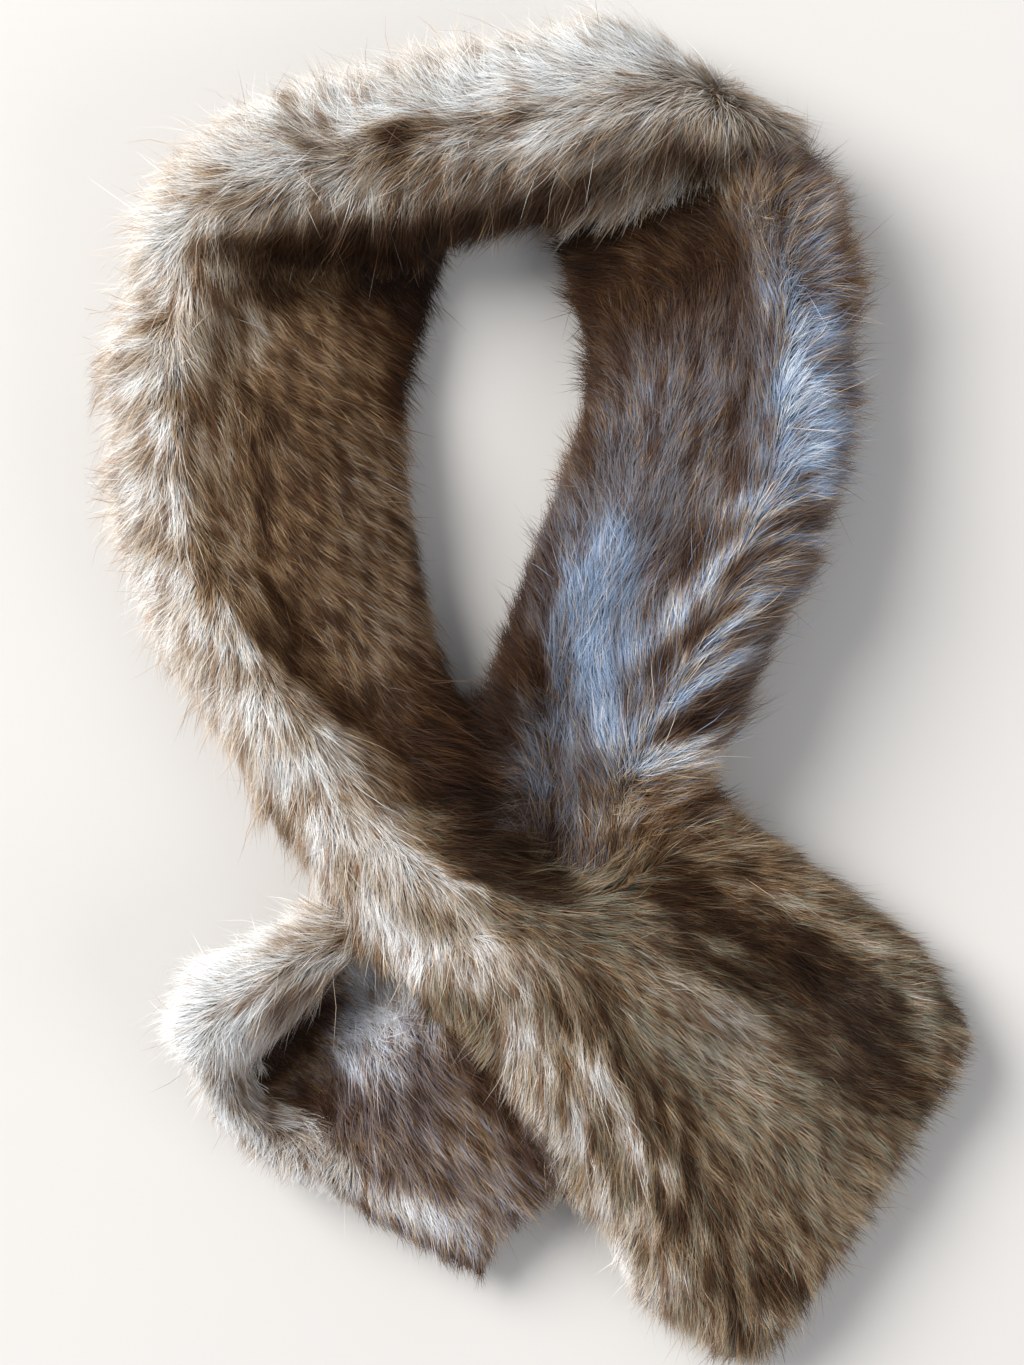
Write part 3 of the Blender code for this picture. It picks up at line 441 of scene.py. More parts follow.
# Each stretch's cool strands: tone to linear colour, from the darkest to the palest.
PALE = [
    (0.00, (0.015, 0.0075, 0.0035)),
    (0.20, (0.074, 0.036, 0.018)),
    (0.40, (0.188, 0.136, 0.095)),
    (0.60, (0.362, 0.320, 0.268)),
    (0.76, (0.640, 0.595, 0.540)),
    (0.88, (0.880, 0.898, 0.895)),
    (1.00, (0.960, 0.995, 1.000)),
]
COOL = {
    "back_fold": PALE,
    "left_band": PALE,
    "over_tail": [
        (0.00, (0.012, 0.0075, 0.004)),
        (0.25, (0.066, 0.043, 0.022)),
        (0.45, (0.162, 0.148, 0.104)),
        (0.62, (0.322, 0.304, 0.230)),
        (0.75, (0.520, 0.468, 0.410)),
        (0.88, (0.845, 0.815, 0.795)),
        (1.00, (0.970, 0.978, 0.990)),
    ],
    # The blue of these stops is painted cool skylight on the band's slope; the darker blues are painted
    # shade as well.
    "right_band": [
        (0.00, (0.013, 0.0065, 0.005)),
        (0.25, (0.074, 0.043, 0.031)),
        (0.42, (0.135, 0.112, 0.110)),
        (0.55, (0.187, 0.180, 0.200)),
        (0.66, (0.236, 0.252, 0.296)),
        (0.76, (0.248, 0.308, 0.412)),
        (0.86, (0.300, 0.422, 0.625)),
        (0.93, (0.575, 0.680, 0.830)),
        (1.00, (0.800, 0.895, 1.000)),
    ],
    "under_tail": [
        (0.00, (0.015, 0.006, 0.0045)),
        (0.25, (0.083, 0.041, 0.030)),
        (0.45, (0.170, 0.134, 0.133)),
        (0.62, (0.301, 0.288, 0.318)),
        (0.80, (0.590, 0.600, 0.665)),
        (1.00, (0.920, 0.945, 1.000)),
    ],
    "rolled_edge": [
        (0.00, (0.016, 0.0075, 0.004)),
        (0.20, (0.082, 0.036, 0.022)),
        (0.40, (0.200, 0.134, 0.102)),
        (0.60, (0.381, 0.315, 0.276)),
        (0.76, (0.646, 0.589, 0.556)),
        (0.88, (0.880, 0.895, 0.893)),
        (1.00, (0.970, 0.995, 1.000)),
    ],
}
# The warm strands, which every stretch has among the cool ones.
WARM = [
    (0.00, (0.013, 0.0045, 0.002)),
    (0.25, (0.077, 0.034, 0.013)),
    (0.42, (0.172, 0.097, 0.046)),
    (0.60, (0.374, 0.240, 0.130)),
    (0.76, (0.620, 0.500, 0.370)),
    (0.88, (0.870, 0.840, 0.800)),
    (1.00, (0.955, 0.970, 0.980)),
]
# The colours of dark tips.
SOOTY = [
    (0.00, (0.007, 0.003, 0.0015)),
    (0.40, (0.045, 0.022, 0.012)),
    (0.62, (0.105, 0.060, 0.036)),
    (0.85, (0.285, 0.203, 0.140)),
]
RUSTY = [
    (0.00, (0.007, 0.0025, 0.001)),
    (0.40, (0.047, 0.019, 0.007)),
    (0.62, (0.124, 0.054, 0.021)),
    (0.85, (0.350, 0.188, 0.085)),
]
COOL_TIPS = {name: SOOTY for name in COATS} | {
    # The bluish palest tip is painted cool skylight, as in the band's own stops.
    "right_band": [
        (0.00, (0.008, 0.0035, 0.002)),
        (0.40, (0.047, 0.022, 0.014)),
        (0.66, (0.110, 0.063, 0.046)),
        (0.84, (0.330, 0.360, 0.440)),
    ],
}


def unit(vectors):
    return vectors / np.maximum(np.linalg.norm(vectors, axis=-1, keepdims=True), 1e-9)


def eased(values, start, span):
    """0 at the start, 1 a span away from it, and level beyond both."""
    return np.clip((values - start) / span, 0, 1)


def numbers(collection, field, width, kind=np.float32):
    values = np.empty(len(collection) * width, kind)
    collection.foreach_get(field, values)
    return values.reshape(-1, width)


# From the photograph's pixels to the wrap

def all_solids():
    """A search tree of the CAD solids together."""
    points, faces = [], []
    for name in COATS:
        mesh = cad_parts[name].data
        first = len(points)
        points += [v.co.copy() for v in mesh.vertices]
        faces += [tuple(first + corner for corner in face.vertices) for face in mesh.polygons]
    return BVHTree.FromPolygons(points, faces)


SOLIDS = all_solids()


def shown_at(column, row):
    """The x and y, in whole mm, of what the camera sees at a pixel of the photograph."""
    right = (column // CELL + 0.5) / CELLS_ACROSS - 0.5
    up = 0.5 - (row // CELL + 0.5) / CELLS_DOWN
    toward = Vector((right * (CELLS_ACROSS / CELLS_DOWN), up, -LENS / SENSOR)).normalized()
    eye = Vector(CAMERA_PLACE)
    place = SOLIDS.ray_cast(eye, toward)[0]
    if place is None:
        place = eye + toward * ((eye.z - BESIDE_HEIGHT) / -toward.z)
    return round(place.x * 1000), round(place.y * 1000)


def lock_in_mm(column, row, right, down, length):
    """A lock's x and y, its heading in degrees from +X, and its length."""
    return *shown_at(column, row), round(math.degrees(math.atan2(-down, right))), length


def patch_in_mm(column, row, along, across, angle, own, strength):
    """A patch's x and y, its half sizes, its angle from +X, its tone, and how much it weighs."""
    half_sizes = round(along * PIXEL, 1), round(across * PIXEL, 1)
    return *shown_at(column, row), *half_sizes, -angle, own, strength


def placed(table, in_mm):
    return {name: [in_mm(*row) for row in rows] for name, rows in table.items()}


COMBS_MM = placed(COMBS, lock_in_mm)
PATCHES_MM = placed(PATCHES, patch_in_mm)
WARMTH_MM = placed(WARMTH, patch_in_mm)


# The skin

SKIN_VOXEL = 0.005  # metres, about the size of its faces
SKIN_DEPTH = 0.0065  # metres inside the solids
UNDERSIDE_DEPTH = 0.002  # the same, where it faces down
UNDERSIDE_EASE = (0.4, 0.4)  # the normal's downward part where that starts, and its span
FLOOR_GAP = 0.0015  # metres that it stays off the floor
INSET_STEPS = 3

Skin = namedtuple("Skin", "points normals triangles")
Spots = namedtuple("Spots", "points normals")


def cad_bodies():
    """One mesh that holds every CAD solid, and a search tree of each."""
    together, trees = bmesh.new(), {}
    for name in COATS:
        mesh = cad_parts[name].data
        together.from_mesh(mesh)
        trees[name] = BVHTree.FromPolygons(
            [v.co for v in mesh.vertices], [tuple(p.vertices) for p in mesh.polygons]
        )
    mesh = bpy.data.meshes.new("bodies")
    together.to_mesh(mesh)
    together.free()
    return mesh, trees


def remeshed(mesh):
    """The solids fused into one closed skin of even faces."""
    obj = bpy.data.objects.new("bodies", mesh)
    bpy.context.scene.collection.objects.link(obj)
    remesh = obj.modifiers.new("fuse", "REMESH")
    remesh.mode, remesh.voxel_size = "VOXEL", SKIN_VOXEL
    graph = bpy.context.evaluated_depsgraph_get()
    fused = bpy.data.meshes.new_from_object(obj.evaluated_get(graph))
    bpy.data.objects.remove(obj)
    return fused


def keep_largest_part(mesh):
    """Deletes all but the largest connected part of the mesh."""
    bm = bmesh.new()
    bm.from_mesh(mesh)
    bm.verts.ensure_lookup_table()
    seen, parts = set(), []
    for start in bm.verts:
        if start in seen:
            continue
        part, waiting = [], [start]
        seen.add(start)
        while waiting:
            vert = waiting.pop()
            part.append(vert)
            for edge in vert.link_edges:
                other = edge.other_vert(vert)
                if other not in seen:
                    seen.add(other)
                    waiting.append(other)
        parts.append(part)
    parts.sort(key=len)
    bmesh.ops.delete(bm, geom=[v for p in parts[:-1] for v in p], context="VERTS")
    bm.to_mesh(mesh)
    bm.free()


def smoothed(points, edges, times, strength=0.5):
    """The points, moved towards the middle of their neighbours."""
    a, b = edges.T
    count = np.bincount(np.concatenate([a, b]), minlength=len(points))[:, None]
    total = np.empty_like(points)
    for _ in range(times):
        for axis in range(3):
            total[:, axis] = np.bincount(a, points[b, axis], len(points))
            total[:, axis] += np.bincount(b, points[a, axis], len(points))
        points = points + strength * (total / np.maximum(count, 1) - points)
    return points


def set_in(mesh):
    """Moves the skin inside the solids, less deep where it faces down."""
    edges = numbers(mesh.edges, "vertices", 2, np.int32)
    points = smoothed(numbers(mesh.vertices, "co", 3).astype(float), edges, times=3)
    for _ in range(INSET_STEPS):
        mesh.vertices.foreach_set("co", points.astype(np.float32).ravel())
        mesh.update()
        normals = numbers(mesh.vertices, "normal", 3)
        depth = SKIN_DEPTH + (UNDERSIDE_DEPTH - SKIN_DEPTH) * eased(-normals[:, 2:], *UNDERSIDE_EASE)
        points = smoothed(points - normals * depth / INSET_STEPS, edges, 1, strength=0.3)
    points[:, 2] = np.maximum(points[:, 2], FLOOR_GAP)
    mesh.vertices.foreach_set("co", points.astype(np.float32).ravel())
    mesh.update()


def nearest_node(places, trees):
    """The name of the CAD solid that each place lies on."""
    names = list(trees)
    gaps = [[trees[n].find_nearest(p)[3] for p in places] for n in names]
    return np.array(names)[np.argmin(gaps, axis=0)]


def skin_pieces():
    """Each stretch's skin, as a mesh and as points, normals and triangles to grow strands on."""
    mesh, trees = cad_bodies()
    whole = remeshed(mesh)
    bpy.data.meshes.remove(mesh)
    keep_largest_part(whole)
    owner = nearest_node([p.center.copy() for p in whole.polygons], trees)
    set_in(whole)
    points = numbers(whole.vertices, "co", 3).astype(float)
    normals = numbers(whole.vertices, "normal", 3).astype(float)
    faces = [tuple(p.vertices) for p in whole.polygons]
    pieces = {}
    for name in COATS:
        own = [f for f, o in zip(faces, owner) if o == name]
        used = sorted({v for f in own for v in f})
        place = {v: i for i, v in enumerate(used)}
        own = [tuple(place[v] for v in f) for f in own]
        triangles = [(f[0], f[i], f[i + 1]) for f in own for i in range(1, len(f) - 1)]
        piece = bpy.data.meshes.new(f"{name}_skin")
        piece.from_pydata(points[used].tolist(), [], own)
        piece.shade_smooth()
        pieces[name] = piece, Skin(points[used], normals[used], np.array(triangles))
    bpy.data.meshes.remove(whole)
    return pieces


# How the hair lies and how its tone varies

NOISE_CELLS = 128  # along each side of the noise's grid
NOISE_SLANT = (0.6, -0.4)  # how the height shifts the noise over the plan
STREAK_STEPS = 4
STREAK_GAIN = 1.4  # makes up for what averaging takes away

COMB_REACH = 12  # mm within which a row of COMBS pulls evenly
SWIRL, SWIRL_SIZE = 0.20, 0.022  # radians, and metres
PARTING_STRAY = 5  # how much more tufts stray where headings part
DROOP = 0.35  # how much the combed hair points down

EDGE_WANDER, EDGE_WANDER_SIZE = 1.6, 0.007  # mm that a marking's edge wanders, over these metres
PATCH_WEIGHT, PATCH_FALL = 2.4, 0.9  # a patch's weight in its middle, and how soon that falls off

WIDE_STREAK, WIDE_REACH, WIDE_SHARE = 0.009, 1.0, 0.15  # metres, and the reach along the hair
FINE_STREAK, FINE_REACH, FINE_SHARE = 0.0018, 1.6, 0.85
CALM_TONE, CALM_SPAN, CALM_SHARE = 0.75, 0.15, 0.7  # where, and how far, streaks fade in pale fur

FLECK, FLECK_REACH = 0.0013, 2.2
GROUP, GROUP_WEIGHT = 0.009, 0.2  # flecks gather in groups of this many metres
ROW_BEND, ROW_BEND_SIZE, ROW_WEIGHT = 1.5, 0.030, 0.30  # and in rows, which bend
BARE_TONE, BARE_SPAN = 0.96, -0.30  # the tone that has none, and the span over which they come
DARK_TONE, DARK_SPAN, DARK_MORE = 0.45, -0.25, 0.7  # the darkest fur has this many more
FLECK_CONTRAST = 1.2  # how sharply their share follows the tone

USUAL_LIFT, USUAL_LENGTH = 24, 12  # degrees at which hair of this many mm leaves the skin
LIFT_PER_MM = 2.2
LIFT_LIMITS = (22, 55)


def ripple(places, size, seed):
    """Smooth noise from -1 to 1 with features of this size in metres."""
    grid = np.random.default_rng(seed).uniform(-1, 1, (NOISE_CELLS, NOISE_CELLS))
    spots = (places[:, :2] + NOISE_SLANT * places[:, 2:]) / size + NOISE_CELLS // 2
    low = np.floor(spots).astype(int)
    u, v = (spots - low).T
    u, v = u * u * (3 - 2 * u), v * v * (3 - 2 * v)

    def corner(i, j):
        return grid[(low[:, 0] + i) % NOISE_CELLS, (low[:, 1] + j) % NOISE_CELLS]

    near = corner(0, 0) * (1 - u) + corner(1, 0) * u
    far = corner(0, 1) * (1 - u) + corner(1, 1) * u
    return near * (1 - v) + far * v


def streaked(places, flow, size, seed, reach):
    """The same noise, drawn out along the hair this many times its size each way."""
    steps = np.linspace(-reach, reach, STREAK_STEPS)
    total = sum(ripple(places + flow * (size * s), size, seed) for s in steps)
    return STREAK_GAIN * total / STREAK_STEPS


def combed(name, spots, turn):
    """The way the hair lies along the skin at each spot, and its length in metres."""
    places, normals = spots
    table = np.array(COMBS_MM[name], float)
    away = places[:, None, :2] * 1000 - table[None, :, :2]
    weight = 1 / ((away**2).sum(2) + COMB_REACH**2) ** 2
    heading = np.radians(table[:, 2])
    east, north = weight @ np.cos(heading), weight @ np.sin(heading)
    agreed = np.hypot(east, north) / weight.sum(1)
    angle = np.arctan2(north, east) + SWIRL * ripple(places, SWIRL_SIZE, SEED + 1)
    angle = angle + turn * (1 + PARTING_STRAY * (1 - agreed))
    wish = np.stack([np.cos(angle), np.sin(angle), np.full(len(angle), -DROOP)], 1)
    length = (weight @ table[:, 3]) / weight.sum(1) / 1000
    return unit(wish - normals * (wish * normals).sum(1, keepdims=True)), length


def layered(places, patches, base):
    """The value at each place: the base, with the patches laid over each other in turn."""
    value = np.full(len(places), float(base))
    x = places[:, 0] * 1000 + EDGE_WANDER * ripple(places, EDGE_WANDER_SIZE, SEED + 4)
    y = places[:, 1] * 1000 + EDGE_WANDER * ripple(places, EDGE_WANDER_SIZE, SEED + 5)
    for middle_x, middle_y, along, across, angle, own, strength in patches:
        c, s = math.cos(math.radians(angle)), math.sin(math.radians(angle))
        u = ((x - middle_x) * c + (y - middle_y) * s) / along
        v = ((y - middle_y) * c - (x - middle_x) * s) / across
        weight = PATCH_WEIGHT * strength * np.exp(-PATCH_FALL * (u * u + v * v) ** 1.5)
        value = value + weight / (1 + weight) * (own / 100 - value)
    return value


def tone_at(name, places, flow):
    """The tone of the hair at each place, with streaks along it that fade in the palest fur."""
    coat = COATS[name]
    # The patches' tone holds painted shade as well as markings, as PATCHES notes.
    tone = layered(places, PATCHES_MM[name], coat.tone)
    wide = streaked(places, flow, WIDE_STREAK, SEED + 2, WIDE_REACH)
    fine = streaked(places, flow, FINE_STREAK, SEED + 3, FINE_REACH)
    calm = 1 - CALM_SHARE * eased(tone, CALM_TONE, CALM_SPAN)
    return tone + coat.spread * calm * (WIDE_SHARE * wide + FINE_SHARE * fine)


def flecked(name, tips, flow, tone):
    """Whether each strand ends in a dark tip: it does where its tip falls in a fleck.

    The flecks stand in loose rows. The darkest fur has the most of them, and the palest has none.
    """
    coat = COATS[name]
    field = streaked(tips, flow, FLECK, SEED + 7, FLECK_REACH)
    field = field + GROUP_WEIGHT * ripple(tips, GROUP, SEED + 8)
    bend = ROW_BEND * ripple(tips, ROW_BEND_SIZE, SEED + 9)
    field = field + ROW_WEIGHT * np.cos(tips[:, 0] / coat.row * 2 * np.pi + bend)
    share = coat.flecked * eased(tone, BARE_TONE, BARE_SPAN)
    share = share * (1 + DARK_MORE * eased(tone, DARK_TONE, DARK_SPAN))
    usual = share.mean()
    return field > np.quantile(field, 1 - usual) + FLECK_CONTRAST * (usual - share)


def steepness(length):
    """The angle that hair of this length leaves the skin at: the longer, the shaggier."""
    degrees = USUAL_LIFT + (length * 1000 - USUAL_LENGTH) * LIFT_PER_MM
    return np.radians(np.clip(degrees, *LIFT_LIMITS))


# The strands

TUFT_SPACING = 0.0065  # metres
UNDER_SHARE, UNDER_NORMAL = 0.25, -0.6  # how many strands grow where the skin faces down
LOW_SHARE, LOW_HEIGHT = 0.3, 0.004  # and how many below this many metres, beside elsewhere
PRESSED_FLAT = 0.85  # how much flatter strands lie where the skin faces down
PRESSED_EASE = (0.2, 0.5)  # the normal's downward part where that starts, and its span
SAG = 0.10  # how far a strand's end sags, as a share of its length

TUFT_TURN, STRAND_TURN, ROLL = 0.20, 0.13, 0.35  # radians
SHARED_TURN = 0.6  # the share of its tuft's turn that a strand makes
LENGTH_SPREAD, LIFT_SPREAD = 0.14, 0.12
TUFT_LENGTHS, STRAND_LENGTHS = (0.6, 1.5), (0.6, 1.4)  # the least and the most, as shares
REST_SPREAD = 5  # degrees, at the strands' ends
DRAW_RANGE, DRAW_POWER = (0.5, 1.25), 1.6  # how far, and how late, tufts draw their strands in

STRAY_SHARE = 0.06  # of the guard hairs
STRAY_TURN = 0.4  # radians
STRAY_REST = 14  # degrees that their ends rise above the others'
STRAY_LENGTH, STRAY_DRAW = 1.2, 0.2  # beside the others'

TUFT_TONE, STRAND_TONE = 0.035, 0.05  # how far their tones stray
TONE_LIMITS = (0.012, 0.988)
WARM_LIMITS = (0.03, 0.97)
WARM_RIPPLE, WARM_RIPPLE_SIZE = 0.12, 0.005  # how far the warm share ripples, over these metres
FLECK_PLACE = 0.75  # how far along a strand its fleck is looked up

WIDTH_RANGE = (0.7, 1.3)
HALF_MM = 0.0005  # metres
UV_HALF_WIDTH = 0.0016  # how far a ribbon's edges lie from its tone along U
V_START, V_SPAN = 0.01, 0.98  # V at a strand's root, and from there to its tip


def furred_sizes(skin):
    """Each triangle's area, of which less counts where it faces down or lies on the floor."""
    a, b, c = (skin.points[skin.triangles[:, i]] for i in range(3))
    across = np.cross(b - a, c - a)
    under = unit(across)[:, 2] < UNDER_NORMAL
    low = (a + b + c)[:, 2] / 3 < LOW_HEIGHT
    size = np.linalg.norm(across, axis=1) / 2
    return size * np.where(under, UNDER_SHARE, 1) * np.where(low, LOW_SHARE, 1)


def scatter(skin, count, rng):
    """Spots spread evenly over the furred part of the skin."""
    reach = np.cumsum(furred_sizes(skin))
    spot = (np.arange(count) + rng.random(count)) / count * reach[-1]
    picked = skin.triangles[np.minimum(np.searchsorted(reach, spot), len(reach) - 1)]
    u, v = rng.random((2, count))
    over = u + v > 1
    u[over], v[over] = 1 - u[over], 1 - v[over]
    share = np.stack([1 - u - v, u, v], 1)[:, :, None]
    points = (skin.points[picked] * share).sum(1)
    return Spots(points, unit((skin.normals[picked] * share).sum(1)))


def planted(name, kind, skin, rng):
    """The strands' roots, the tufts' hearts, and the number of the tuft that each root stands in."""
    area = furred_sizes(skin).sum()
    roots = scatter(skin, int(area * kind.per_area), rng)
    if kind.palest:
        pale = layered(roots.points, PATCHES_MM[name], COATS[name].tone) > kind.palest
        roots = Spots(roots.points[pale], roots.normals[pale])
    hearts = scatter(skin, int(area / TUFT_SPACING**2), rng)
    tree = KDTree(len(hearts.points))
    for number, heart in enumerate(hearts.points):
        tree.insert(heart, number)
    tree.balance()
    return roots, hearts, np.array([tree.find(root)[1] for root in roots.points])


def bent(spots, flow, length, lift, rest, steps):
    """The strands' paths from these spots: they start at the angle lift and end at the angle rest."""
    roots, normals = spots
    flatter = 1 - PRESSED_FLAT * eased(-normals[:, 2], *PRESSED_EASE)

    def leaning(angle):
        return flow * np.cos(angle)[:, None] + normals * np.sin(angle)[:, None]

    start, end = leaning(lift * flatter), leaning(rest * flatter)
    s = steps[None, :, None]
    path = roots[:, None] + length[:, None, None] * (
        start[:, None] * s + (end - start)[:, None] * s * s / 2
    )
    path[:, :, 2] -= SAG * length[:, None] * steps**2
    return path


def grown(name, kind, roots, hearts, tuft, steps, rng):
    """The strands' paths, and the way each lies at its root."""
    count, tufts = len(roots.points), len(hearts.points)
    turn = rng.normal(0, TUFT_TURN, tufts)
    tall = kind.length * rng.normal(1, LENGTH_SPREAD, tufts).clip(*TUFT_LENGTHS)
    heart_flow, heart_length = combed(name, hearts, turn)
    lifted = steepness(heart_length) * rng.normal(1, LIFT_SPREAD, tufts)
    rest = np.radians(kind.rest)
    core = bent(hearts, heart_flow, heart_length * tall, lifted, np.full(tufts, rest), steps)

    stray = rng.random(count) < (STRAY_SHARE if kind.name == "guard" else 0)
    own_turn = rng.normal(0, np.where(stray, STRAY_TURN, STRAND_TURN))
    flow, length = combed(name, roots, turn[tuft] * SHARED_TURN + own_turn)
    lift = steepness(length) * lifted[tuft] / steepness(heart_length)[tuft]
    length = length * tall[tuft] * rng.normal(1, LENGTH_SPREAD, count).clip(*STRAND_LENGTHS)
    lift = lift * rng.normal(1, LIFT_SPREAD, count)
    rest = rest + np.radians(rng.normal(np.where(stray, STRAY_REST, 0), REST_SPREAD))
    path = bent(roots, flow, length * np.where(stray, STRAY_LENGTH, 1), lift, rest, steps)

    draw = kind.draw * rng.uniform(*DRAW_RANGE, count) * np.where(stray, STRAY_DRAW, 1)
    draw = (draw[:, None] * steps**DRAW_POWER)[:, :, None]
    path = path * (1 - draw) + core[tuft] * draw
    sway = np.cross(flow, roots.normals) * (rng.normal(0, kind.sway, count) * length)[:, None]
    path = path + sway[:, None] * steps[None, :, None] ** 2
    return np.clip(path, LOWEST, HIGHEST), flow


def edge_offsets(kind, path, normals, rng):
    """The way from each path's points to its ribbon's edge, which narrows to a point."""
    along = unit(np.gradient(path, axis=1))
    side = unit(np.cross(along, np.repeat(normals[:, None], path.shape[1], 1)))
    up = np.cross(side, along)
    roll = rng.normal(0, ROLL, len(path))[:, None, None]
    side = side * np.cos(roll) + up * np.sin(roll)
    half = kind.width * HALF_MM * rng.uniform(*WIDTH_RANGE, len(path))[:, None]
    return side * (half * np.array(TAPERS[kind.segments]))[:, :, None]


def toned(name, kind, roots, path, flow, tuft, tufts, rng):
    """U at the paths' points: the tone, in the stretch of U for the strand's tip and warmth."""
    count, rows = path.shape[:2]
    tone = tone_at(name, path.reshape(-1, 3), np.repeat(flow, rows, 0)).reshape(-1, rows)
    dark_tip = flecked(name, roots + (path[:, -1] - roots) * FLECK_PLACE, flow, tone[:, -1])
    own_tone = rng.normal(0, TUFT_TONE, tufts)[tuft] + rng.normal(0, STRAND_TONE, count)
    tone = np.maximum(tone + own_tone[:, None], kind.palest).clip(*TONE_LIMITS)
    share = layered(roots, WARMTH_MM[name], COATS[name].warm)
    share = share + WARM_RIPPLE * ripple(roots, WARM_RIPPLE_SIZE, SEED + 10)
    warm = rng.random(count) < share.clip(*WARM_LIMITS)
    return (tone + dark_tip[:, None] + 2 * warm[:, None]) / 4


def coat_mesh(name, kind, skin, seed):
    """One coat of strands, drawn together in tufts."""
    rng, steps = np.random.default_rng(seed), np.linspace(0, 1, kind.segments + 1)
    roots, hearts, tuft = planted(name, kind, skin, rng)
    path, flow = grown(name, kind, roots, hearts, tuft, steps, rng)
    offset = edge_offsets(kind, path, roots.normals, rng)
    u = toned(name, kind, roots.points, path, flow, tuft, len(hearts.points), rng)
    return ribbon_mesh(f"{name}_{kind.name}", path, offset, u, V_START + V_SPAN * steps)


def ribbon_mesh(name, path, offset, u, v):
    """A ribbon along each path, quads and then a point, with U and V given at the path's points."""
    count, rows = path.shape[:2]
    ends = rows - 1
    pairs = np.stack([path[:, :-1] - offset[:, :-1], path[:, :-1] + offset[:, :-1]], 2)
    pairs = pairs.reshape(count, ends * 2, 3)
    points = np.concatenate([pairs, path[:, -1:]], 1).reshape(-1, 3)
    each = ends * 2 + 1
    quads = [(2 * i, 2 * i + 1, 2 * i + 3, 2 * i + 2) for i in range(ends - 1)]
    corners = np.array([c for q in quads for c in q] + [each - 3, each - 2, each - 1])
    sizes = np.array([4] * (ends - 1) + [3])
    loops = (corners[None] + (np.arange(count) * each)[:, None]).ravel()
    starts = np.concatenate([[0], np.cumsum(np.tile(sizes, count))[:-1]])

    mesh = bpy.data.meshes.new(name)
    mesh.vertices.add(len(points))
    mesh.vertices.foreach_set("co", points.astype(np.float32).ravel())
    mesh.loops.add(len(loops))
    mesh.loops.foreach_set("vertex_index", loops.astype(np.int32))
    mesh.polygons.add(len(starts))
    mesh.polygons.foreach_set("loop_start", starts.astype(np.int32))
    mesh.update(calc_edges=True)
    mesh.validate()
    mesh.shade_smooth()

    shift = UV_HALF_WIDTH * np.array([-1, 1])
    place = np.empty((count, each, 2))
    place[:, :-1, 0] = np.repeat(u[:, :-1], 2, 1) + np.tile(shift, ends)
    place[:, :-1, 1] = np.repeat(v[:-1], 2)
    place[:, -1, 0], place[:, -1, 1] = u[:, -1], v[-1]
    uv = place.reshape(-1, 2)[loops]
    layer = mesh.uv_layers.new(name="OFBake")
    layer.data.foreach_set("uv", uv.astype(np.float32).ravel())
    return mesh


# Materials

# How much of a dark tip's colour shows, by V.
TIP_STOPS = ((0.0, 0.0), (0.28, 0.0), (0.55, 0.9), (1.0, 1.0))
# The underfur's darkness is painted shade deep in the coat, under the strands.
UNDERFUR_PAINTED_SHADE = 0.4  # beside the warm strands
UNDERFUR_PLACES = (0.25, 0.5, 0.75, 0.95)  # of its colours, in the noise


def new_material(name, roughness, specular):
    material = bpy.data.materials.new(name)
    material.use_nodes = True
    tree = material.node_tree
    tree.nodes.clear()
    shader = tree.nodes.new("ShaderNodeBsdfPrincipled")
    shader.inputs["Roughness"].default_value = roughness
    shader.inputs["Specular IOR Level"].default_value = specular
    output = tree.nodes.new("ShaderNodeOutputMaterial")
    tree.links.new(shader.outputs[0], output.inputs[0])
    return material, tree, shader


def noise(tree, scale, detail):
    place = tree.nodes.new("ShaderNodeTexCoord")
    node = tree.nodes.new("ShaderNodeTexNoise")
    node.inputs["Scale"].default_value = scale
    node.inputs["Detail"].default_value = detail
    tree.links.new(place.outputs["Object"], node.inputs["Vector"])
    return node.outputs[0]


def maths(tree, operation, *values):
    node = tree.nodes.new("ShaderNodeMath")
    node.operation = operation
    for socket, value in zip(node.inputs, values):
        if isinstance(value, bpy.types.NodeSocket):
            tree.links.new(value, socket)
        else:
            socket.default_value = value
    return node.outputs[0]


def ramp(tree, value, stops):
    """The colour for a value, from stops of a place and a colour or a grey."""
    node = tree.nodes.new("ShaderNodeValToRGB")
    elements = node.color_ramp.elements
    while len(elements) < len(stops):
        elements.new(0.5)
    for element, (place, colour) in zip(elements, stops):
        if not isinstance(colour, tuple):
            colour = (colour,) * 3
        element.position, element.color = place, (*colour, 1)
    tree.links.new(value, node.inputs[0])
    return node.outputs[0]


def mixed(tree, blend, share, a, b):
    node = tree.nodes.new("ShaderNodeMix")
    node.data_type, node.blend_type = "RGBA", blend
    if isinstance(share, bpy.types.NodeSocket):
        tree.links.new(share, node.inputs[0])
    else:
        node.inputs[0].default_value = share
    tree.links.new(a, node.inputs[6])
    tree.links.new(b, node.inputs[7])
    return node.outputs[2]


